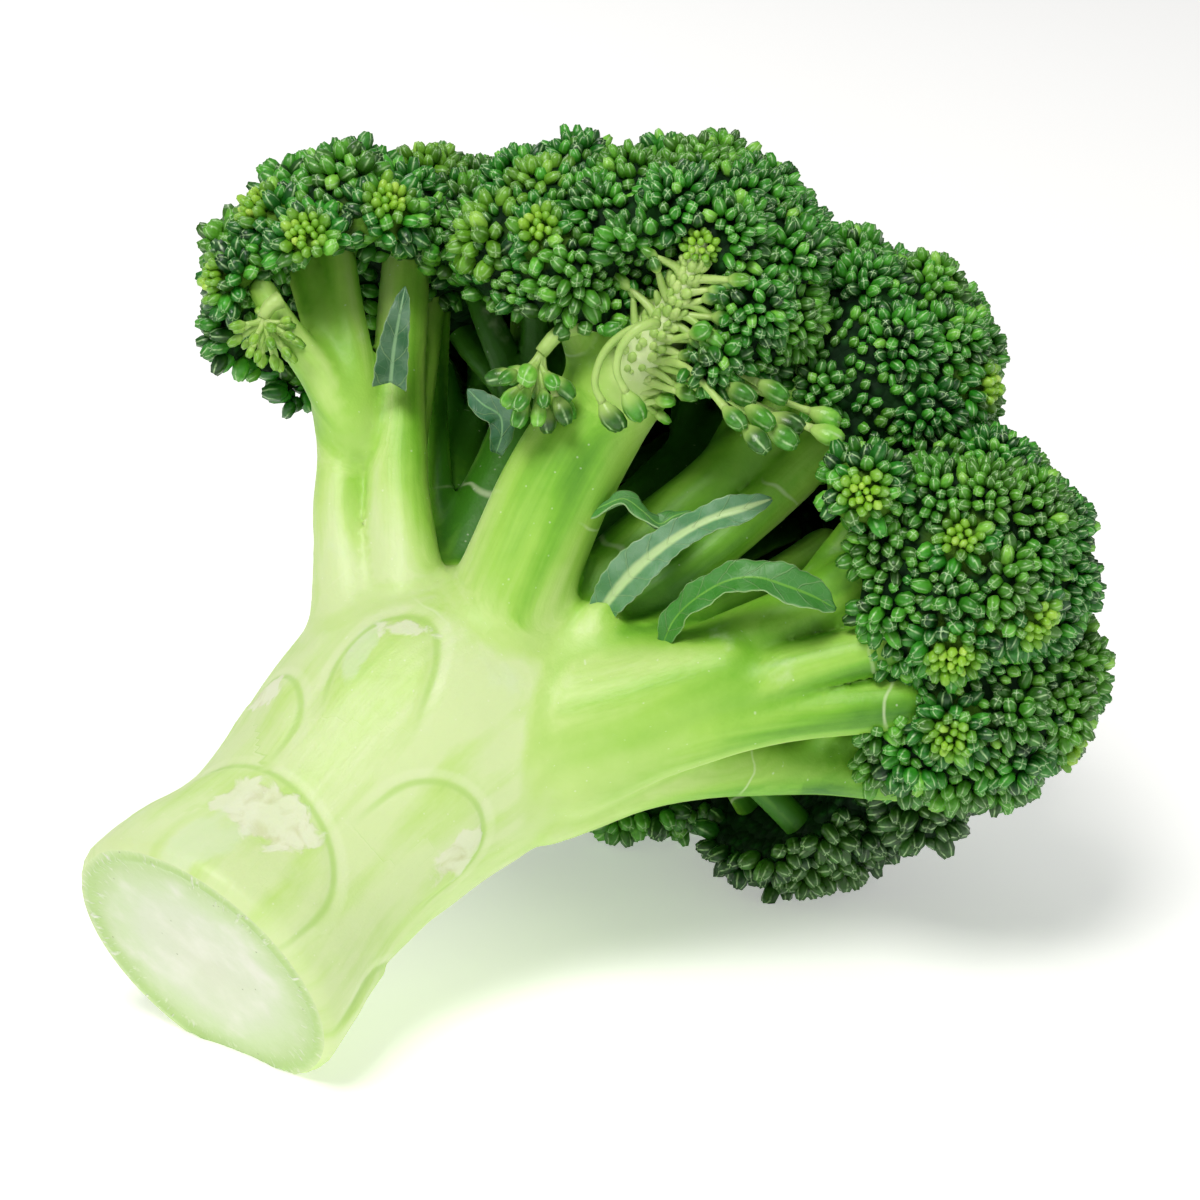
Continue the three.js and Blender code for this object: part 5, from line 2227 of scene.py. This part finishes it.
@dataclass(frozen=True)
class RimStems:
    """What grows on the stem that shows in the middle crown: side stems with buds.

    Attributes:
        main: The points of the stem that the others leave from.
        girth: Its radii.
        tips: Where the large side stems end, each with a bud's width.
        face: The way its knobbly side looks.
        comb: Which flanks small side stems leave from at each place, -1 for the left and 1 for the right.
        knobs: How many stubs there are around the stem's face at each place.
        crowded: How many young buds crowd on its end.
        stub_spread: How far around the stem's face the stubs stand, in degrees.
        stub_radii: The smallest and the largest radius of a stub.
        comb_widths: The smallest and the largest width of the small side stems' buds.
    """

    main: tuple[Point, ...] = RIM_STEM
    girth: tuple[float, ...] = (5.2, 3.5, 2.5, 1.5)
    tips: tuple[tuple[Point, float], ...] = (
        ((-43.1, -32.5, 113.2), 3.6), ((-45, -33.1, 108.9), 3.4), ((-41.8, -37.6, 108), 3.9),
        ((-38.9, -41.3, 106.6), 3.7), ((-41.6, -40.2, 102.8), 3.4), ((-38.3, -43.5, 102.8), 3.7),
        ((-37.9, -38.5, 113), 3.6), ((-29, -43, 117.2), 3.8), ((-28.3, -45.1, 114.5), 3.8),
        ((-47.8, -31, 112.4), 3.0), ((-50.4, -30.6, 109.6), 2.9), ((-33.5, -41.5, 110.5), 3.7),
        ((-35, -44, 107), 3.6),
    )
    face: tuple[float, float, float] = (-0.8, -0.6, -0.05)
    comb: tuple[int, ...] = (-1, 1, 1)
    knobs: int = 5
    crowded: int = 34
    stub_spread: float = 156.0
    stub_radii: tuple[float, float] = (0.65, 1.0)
    comb_widths: tuple[float, float] = (1.8, 2.7)

    def draw(self, draft: Draft, rng: np.random.Generator) -> None:
        """Adds the stems and buds to a piece.

        Args:
            draft: The piece.
            rng: The random draws.
        """
        line = Line(self.main, 1.0)
        radii = line.radii(self.girth)
        for tip, width in self.tips:
            end = np.array(tip)
            root = int(rng.uniform(0.05, 0.3) * (len(line.points) - 1))
            start = line.points[root]
            out = unit(end - DOME)
            way = unit(end - start)
            bend = start + way * np.linalg.norm(end - start) * 0.4 - out * 0.4 + line.along[root] * 2.2
            foot = end - way * width * 0.7 - out * width * 0.5
            stem_with_bud(draft, (start, bend, foot), (1.0, 0.6, 0.5), width, rng, 2)
        self._comb(draft, line, radii, rng)
        self._knobs(draft, line, radii, rng)
        self._tip(draft, line, rng)

    def _comb(self, draft: Draft, line: Line, radii: np.ndarray, rng: np.random.Generator) -> None:
        """Adds rows of short curved stems along the flanks, each with a small bud.

        Args:
            draft: The piece.
            line: The main stem's middle.
            radii: Its radii.
            rng: The random draws.
        """
        for number in range(2, len(line.points) - 3, 2):
            place, along = line.points[number], line.along[number]
            out, flank = self._sides(along)
            for turn in self.comb:
                if turn < 0 and number % 4:
                    continue
                side = flank * turn
                reach = radii[number] + rng.uniform(1.4, 4.8)
                tip = place + side * reach + along * rng.uniform(-1.0, 3.5) + out * rng.uniform(-1.0, 3.0)
                start = place + side * radii[number] * 0.2 + out * radii[number] * 0.75 - along
                shoulder = place + side * radii[number] * 0.95 + out * radii[number] * 0.55
                width = rng.uniform(*self.comb_widths)
                route, age = (start, shoulder, tip), rng.uniform(0, 0.35)
                stem_with_bud(draft, route, (0.9, 0.66, 0.46), width, rng, 2, RIPE_BUD, age)

    def _knobs(self, draft: Draft, line: Line, radii: np.ndarray, rng: np.random.Generator) -> None:
        """Adds stubs of lost side stems, in slanting rows over the stem's face.

        Args:
            draft: The piece.
            line: The main stem's middle.
            radii: Its radii.
            rng: The random draws.
        """
        for number in range(5, len(line.points) - 1, 2):
            place, along = line.points[number], line.along[number]
            out, flank = self._sides(along)
            for row in range(self.knobs):
                turn = self.stub_spread * (row + rng.uniform(0.0, 0.8)) / self.knobs
                turn = math.radians(turn - self.stub_spread / 2)
                way = out * math.cos(turn) + flank * math.sin(turn)
                foot = place + way * radii[number] * 0.7
                top = place + way * (radii[number] + rng.uniform(0.1, 0.9)) + along * rng.uniform(0.8, 2.4)
                wide = rng.uniform(*self.stub_radii)
                stem_with_bud(draft, (foot, top), (wide, wide, 0.4 * wide), 0.0, rng, 2)

    def _sides(self, along: np.ndarray) -> tuple[np.ndarray, np.ndarray]:
        """The ways out of the stem's face and out of its flank, square to the way along it."""
        out = unit(np.array(self.face) - along * along.dot(self.face))
        return out, np.cross(along, out)

    def _tip(self, draft: Draft, line: Line, rng: np.random.Generator) -> None:
        """Crowds the youngest buds on the stem's end.

        Args:
            draft: The piece.
            line: The main stem's middle.
            rng: The random draws.
        """
        ways = np.stack([line.side[-1], line.up[-1], line.along[-1]])
        out = spiral(1 - 1.5 * np.arange(self.crowded) / self.crowded) @ ways
        width = rng.uniform(1.1, 1.6, self.crowded)
        buds = Buds(line.points[-1] + out * 1.7, out, width, width * 1.3, rng.uniform(0.5, 1.0, self.crowded))
        buds.draw(draft, YOUNG_BUD, rng)


@dataclass(frozen=True)
class Sprig:
    """A thin flower stem that stands clear of the crowns.

    Attributes:
        name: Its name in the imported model, without the sprig in front.
        stems: The points of its stems.
        radius: The stems' radius.
        tuft: Half the size of the tuft of buds at each stem's end.
        buds: How many buds each tuft has; a single one sits on the stem itself.
        width: The buds' width.
        age: 1 if they are young.
    """

    name: str
    stems: tuple[tuple[Point, ...], ...]
    radius: float
    tuft: tuple[float, float, float]
    buds: int
    width: float
    age: float = 0.12

    def build(self, finishes: Finishes) -> bpy.types.Object:
        """Makes the piece.

        Args:
            finishes: The materials.

        Returns:
            The sprig.
        """
        rng = np.random.default_rng(len(self.name) * 7)
        draft = Draft(bud=3, age=1, stalked=1)
        for route in self.stems:
            girth = (self.radius * 1.25, self.radius, self.radius * 0.85)
            if self.buds == 1:
                stem_with_bud(draft, route, girth, self.width, rng, 1)
                continue
            stem_with_bud(draft, route[:-1], girth, 0.0, rng, 1)
            fork, end = np.array(route[-2]), np.array(route[-1])
            for way in spiral(1 - 2 * (np.arange(self.buds) + 0.5) / self.buds):
                if unit(end - fork).dot(way) < -0.6:
                    continue
                tip = end + way * self.tuft * rng.uniform(0.55, 0.8)
                bend = fork + (tip - fork) * 0.5 - way * 0.8
                width = self.width * rng.uniform(0.75, 1.2)
                shape = LARGE_BUD if width > 2.4 else RIPE_BUD
                stem_with_bud(draft, (fork, bend, tip), (0.7, 0.5, 0.42), width, rng, 1, shape, self.age)
        finish = [finishes.buds, finishes.sprout]
        return draft.build(f"sprig_of_{self.name}", f"sprig_{self.name}", Slot.SPRIGS, finish)


SPRIGS = (
    Sprig(
        "hanging",
        (((-50.4, -12.6, 103.9), (-52.1, -12.3, 101), (-52.5, -10.8, 98), (-51.5, -9.8, 94.6),
          (-48.1, -9.6, 91.3)),),
        1.3, (6.5, 5, 4.5), 22, 2.9,
    ),
    Sprig(
        "curved",
        (
            ((-52.3, -25.5, 105.5), (-53.6, -24.1, 102.7), (-52.4, -21.1, 99.6), (-50.2, -19.5, 97.1),
             (-47.5, -19.3, 94.7), (-44.9, -20.5, 93.8)),
            ((-52.3, -25.5, 105.5), (-54, -25.9, 103.8), (-54.2, -24.9, 101.1), (-52.2, -23.3, 98.9),
             (-49.2, -22.8, 97), (-45.8, -23.6, 96.4)),
        ),
        0.65, (2.2, 1.9, 1.9), 1, 3.6,
    ),
    Sprig(
        "drooping", (((-64.9, 28.5, 80.1), (-65.1, 29.1, 78.2), (-64.2, 29.4, 76.3), (-61.9, 29.2, 75.3)),),
        1.2, (6.6, 6, 4.8), 38, 1.6, 0.7,
    ),
)


# ------------------------------------------------------------------------------- leaves


@dataclass(frozen=True)
class Leaf:
    """A small leaf between the branches.

    Attributes:
        name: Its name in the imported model, without the leaf in front.
        rib: The points of its midrib.
        widths: The blade's widths, evenly spaced along the midrib.
        face: The way its upper side looks.
        skin: Its finish.
        fold: How much the blade rises at its edges, as a share of its width.
        wave: How far its edges ripple, in millimetres.
        thickness: Of the blade.
        teeth: How deep its edge is toothed, as a share of its width.
        sweep: How far the blade's base reaches back past its rib, as a share of its width.
        columns: How many points lie across the blade.
        rib_height: How far the rib stands out below; above it is about a third of that.
        rib_half: Half the rib's width.
    """

    name: str
    rib: tuple[Point, ...]
    widths: tuple[float, ...]
    face: Point
    skin: LeafSkin
    fold: float = 0.14
    wave: float = 0.5
    thickness: float = 0.55
    teeth: float = 0.035
    sweep: float = 0.0
    columns: int = 17
    rib_height: float = 0.45
    rib_half: float = 0.7

    def build(self) -> bpy.types.Object:
        """Makes the piece.

        Returns:
            The leaf.
        """
        line = Line(self.rib, 0.5)
        half = line.radii(self.widths) / 2
        half = half * np.sqrt(np.clip((1.0 - line.shares) / 0.14, 0.02, 1.0))
        half = half * (1.0 + self.teeth * np.sin(line.lengths * 2.9))
        swept = self.sweep * half * ease(line.shares, 0.3, 0.0)
        face = unit(np.array(self.face, float))
        side = unit(np.cross(line.along, face))
        up = np.cross(side, line.along)
        shares = np.linspace(-1, 1, self.columns)
        sheets, marks = [], []
        for look in (1.0, -1.0):
            for share in (shares if look > 0 else shares[::-1]):
                edge = abs(share)
                phase = line.lengths * 0.9 + (1.7 if share > 0 else 0.0)
                lift = self.fold * edge * 2 * half
                lift = lift + self.wave * edge**2 * np.sin(phase) * ease(half, 0.3, 1.5)
                rib = self.rib_height * np.exp(-((edge * half / self.rib_half) ** 2))
                thick = self.thickness / 2 * (1 - 0.6 * edge**4) + (rib if look < 0 else 0.35 * rib)
                sheets.append(
                    line.points + side * (share * half)[:, None] + up * (lift + look * thick)[:, None]
                    - line.along * (edge * swept)[:, None]
                )
                mark = [np.full(len(half), share), line.lengths, np.full(len(half), max(look, 0.0))]
                marks.append(np.stack(mark, axis=1))
        points = np.stack(sheets, axis=1)
        rows, columns = points.shape[:2]
        i = np.arange(len(shares) - 1)
        first = np.stack([i, i + 1, columns - 2 - i, columns - 1 - i], axis=1)
        last = (first + (rows - 1) * columns)[:, ::-1]
        faces = [walls(rows, columns)[:, [0, 3, 2, 1]], first, last]
        draft = Draft(blade=3)
        draft.add(points.reshape(-1, 3), faces, blade=np.stack(marks, axis=1).reshape(-1, 3))
        finish = [self.skin.material()]
        return draft.build(f"leaf_of_{self.name}", f"leaf_{self.name}", Slot.LEAVES, finish)


LEAVES = (
    Leaf(
        "long",
        ((-10.6, -16.9, 75.5), (-13.6, -18.5, 79.1), (-17.7, -22.4, 84.7), (-20.1, -26.7, 90.8),
         (-20.9, -30.4, 95.6), (-20.2, -33.8, 100.1), (-19, -35.8, 104.1)),
        (2.4, 5.4, 7, 5.4, 4.4, 4.8, 4.2), (-0.75, -0.6, -0.2),
        LeafSkin("leaf_skin_long", upper="55905c", rib="bfdc9c", rib_width=0.34, bloom=0.4), 0.3,
    ),
    Leaf(
        "arched",
        ((-6.4, -26.8, 75.6), (-6.9, -27.6, 77.8), (-12.2, -30.7, 81.6), (-16, -35.2, 85.2),
         (-17.3, -38.9, 88.5), (-16.8, -42.4, 90.9), (-14.5, -45.8, 92.6), (-11.2, -48.7, 94.5),
         (-8.1, -50.9, 95.7)),
        (1.2, 2.2, 4.2, 4.6, 5, 5.5, 6.4, 6.8, 4.6), (-0.85, -0.5, 0.1),
        LeafSkin("leaf_skin_arched", upper="3f8a2c", under="6fa83f", rib="6fb040", rib_width=0.1, bloom=0.1),
        0.2,
    ),
    Leaf(
        "wavy",
        ((-25.2, -13.6, 85.1), (-26.8, -17.5, 87.9), (-26.8, -19.5, 90), (-24.5, -21.4, 90.6),
         (-21.3, -23.5, 91.3), (-21, -24.6, 93.9), (-20.3, -25.9, 96.2)),
        (1.5, 3, 3.4, 3.2, 3.4, 3.6, 2), (-0.9, -0.2, 0.3),
        LeafSkin("leaf_skin_wavy", upper="4f9440", rib="8cc463", rib_width=0.12, bloom=0.2),
    ),
    Leaf(
        "bract", ((-47.7, 16.1, 83.5), (-51.8, 16, 86.7), (-55.7, 16.1, 90.6), (-58.1, 17, 94.4)),
        (5.4, 5, 3.6, 1.5), (-0.65, -0.65, -0.39),
        LeafSkin("leaf_skin_bract", upper="35663f", rib="7fa878", rib_width=0.16, bloom=0.25), 0.34,
        sweep=0.25,
    ),
    Leaf(
        "curl",
        ((-33.3, 2.7, 86.9), (-36.2, 1.5, 88.6), (-38.7, 1.8, 89.9), (-41.5, 3.5, 89.1), (-43.9, 5.8, 89.3)),
        (2, 3.6, 4.4, 4, 2.2), (-0.65, -0.65, -0.39),
        LeafSkin("leaf_skin_curl", upper="2f6a44", rib="7fb07c", rib_width=0.1, bloom=0.3),
    ),
)


# ------------------------------------------------------------------------------- the studio


@dataclass(frozen=True)
class Lamp:
    """A soft square light that looks at the head.

    Attributes:
        name: What it is called.
        place: Where it is, in metres.
        size: Its side.
        power: In watts.
        colour: Its tint.
    """

    name: str
    place: tuple[float, float, float]
    size: float
    power: float
    colour: tuple[float, float, float] = (1.0, 1.0, 1.0)

    def switch_on(self, aim: Vector) -> None:
        """Adds the light.

        Args:
            aim: The point that it looks at.
        """
        data = bpy.data.lights.new(self.name, "AREA")
        data.shape = "SQUARE"
        data.size = self.size
        data.energy = self.power
        data.color = self.colour
        lamp = link(self.name, data)
        lamp.location = self.place
        lamp.rotation_euler = (aim - Vector(self.place)).to_track_quat("-Z", "Y").to_euler()


@dataclass(frozen=True)
class Studio:
    """A pale floor, soft light and the camera.

    Attributes:
        lamps: The lights.
        sky: How bright the surroundings are.
        azimuth: Where the camera stands, in degrees from the front.
        elevation: How high it stands.
        distance: How far the camera is from the middle of the dome, in metres.
        aside: How far the camera's middle is moved right and up, in metres.
        lens: The camera's focal length in millimetres.
        sensor: The width of the camera's sensor in millimetres.
        floor_reach: How far the floor reaches to each side, in metres.
        floor_gap: How far it lies under the head, in metres.
    """

    lamps: tuple[Lamp, ...] = (
        Lamp("key", (-0.5, -0.2, 0.95), 0.36, 7.3, (1.0, 0.98, 0.95)),
        Lamp("fill", (0.35, -0.9, 0.35), 0.9, 1.5),
        Lamp("rim", (0.3, 0.8, 0.6), 0.6, 2.0),
    )
    sky: float = 0.26
    azimuth: float = -45.5
    elevation: float = 22.0
    distance: float = 0.5464
    aside: tuple[float, float] = (0.002787, -0.000328)
    lens: float = 100.0
    sensor: float = 36.0
    floor_reach: float = 6.0
    floor_gap: float = 1e-4

    def camera(self, aim: Vector) -> None:
        """Places the camera.

        Args:
            aim: The point that it stands back from, near the middle of its view.
        """
        a, e = math.radians(self.azimuth), math.radians(self.elevation)
        back = Vector((math.sin(a) * math.cos(e), -math.cos(a) * math.cos(e), math.sin(e)))
        turned = back.to_track_quat("Z", "Y")
        right, up = turned @ Vector((1, 0, 0)), turned @ Vector((0, 1, 0))
        data = bpy.data.cameras.new("camera")
        data.lens = self.lens
        data.sensor_width = self.sensor
        data.clip_start, data.clip_end = 0.01, 20.0
        camera = link("camera", data)
        camera.location = aim + back * self.distance + right * self.aside[0] + up * self.aside[1]
        camera.rotation_euler = turned.to_euler()
        bpy.context.scene.camera = camera

    def floor(self) -> None:
        """Lays the floor, just under the head."""
        mesh = bpy.data.meshes.new("floor")
        ways = ((-1, -1), (1, -1), (1, 1), (-1, 1))
        corners = [(x * self.floor_reach, y * self.floor_reach, -self.floor_gap) for x, y in ways]
        mesh.from_pydata(corners, [], [(0, 1, 2, 3)])
        mesh.materials.append(StudioPaper().material())
        link("floor", mesh)

    def build(self) -> None:
        """Sets up the whole studio."""
        scene = bpy.context.scene
        world = scene.world or bpy.data.worlds.new("world")
        scene.world = world
        world.use_nodes = True
        background = world.node_tree.nodes["Background"]
        background.inputs["Color"].default_value = (1.0, 1.0, 1.0, 1.0)
        background.inputs["Strength"].default_value = self.sky
        scene.view_settings.view_transform = "Standard"
        self.floor()
        aim = Vector(HEAD.place(DOME[None])[0])
        for lamp in self.lamps:
            lamp.switch_on(aim)
        self.camera(aim)


def main() -> None:
    """Builds the stalk, the crowns, the leaves, the sprigs and the studio, and reports each piece."""
    logging.basicConfig(level=logging.INFO, format="%(message)s")
    finishes = Finishes()
    pieces = [Stalk().build(CROWNS, finishes)]
    pieces += Canopy().build(finishes)
    pieces += [leaf.build() for leaf in LEAVES]
    pieces += [sprig.build(finishes) for sprig in SPRIGS]
    Studio().build()
    for piece in pieces:
        log.info("%s: %d faces", piece.name, len(piece.data.polygons))


if __name__ == "__main__":
    main()
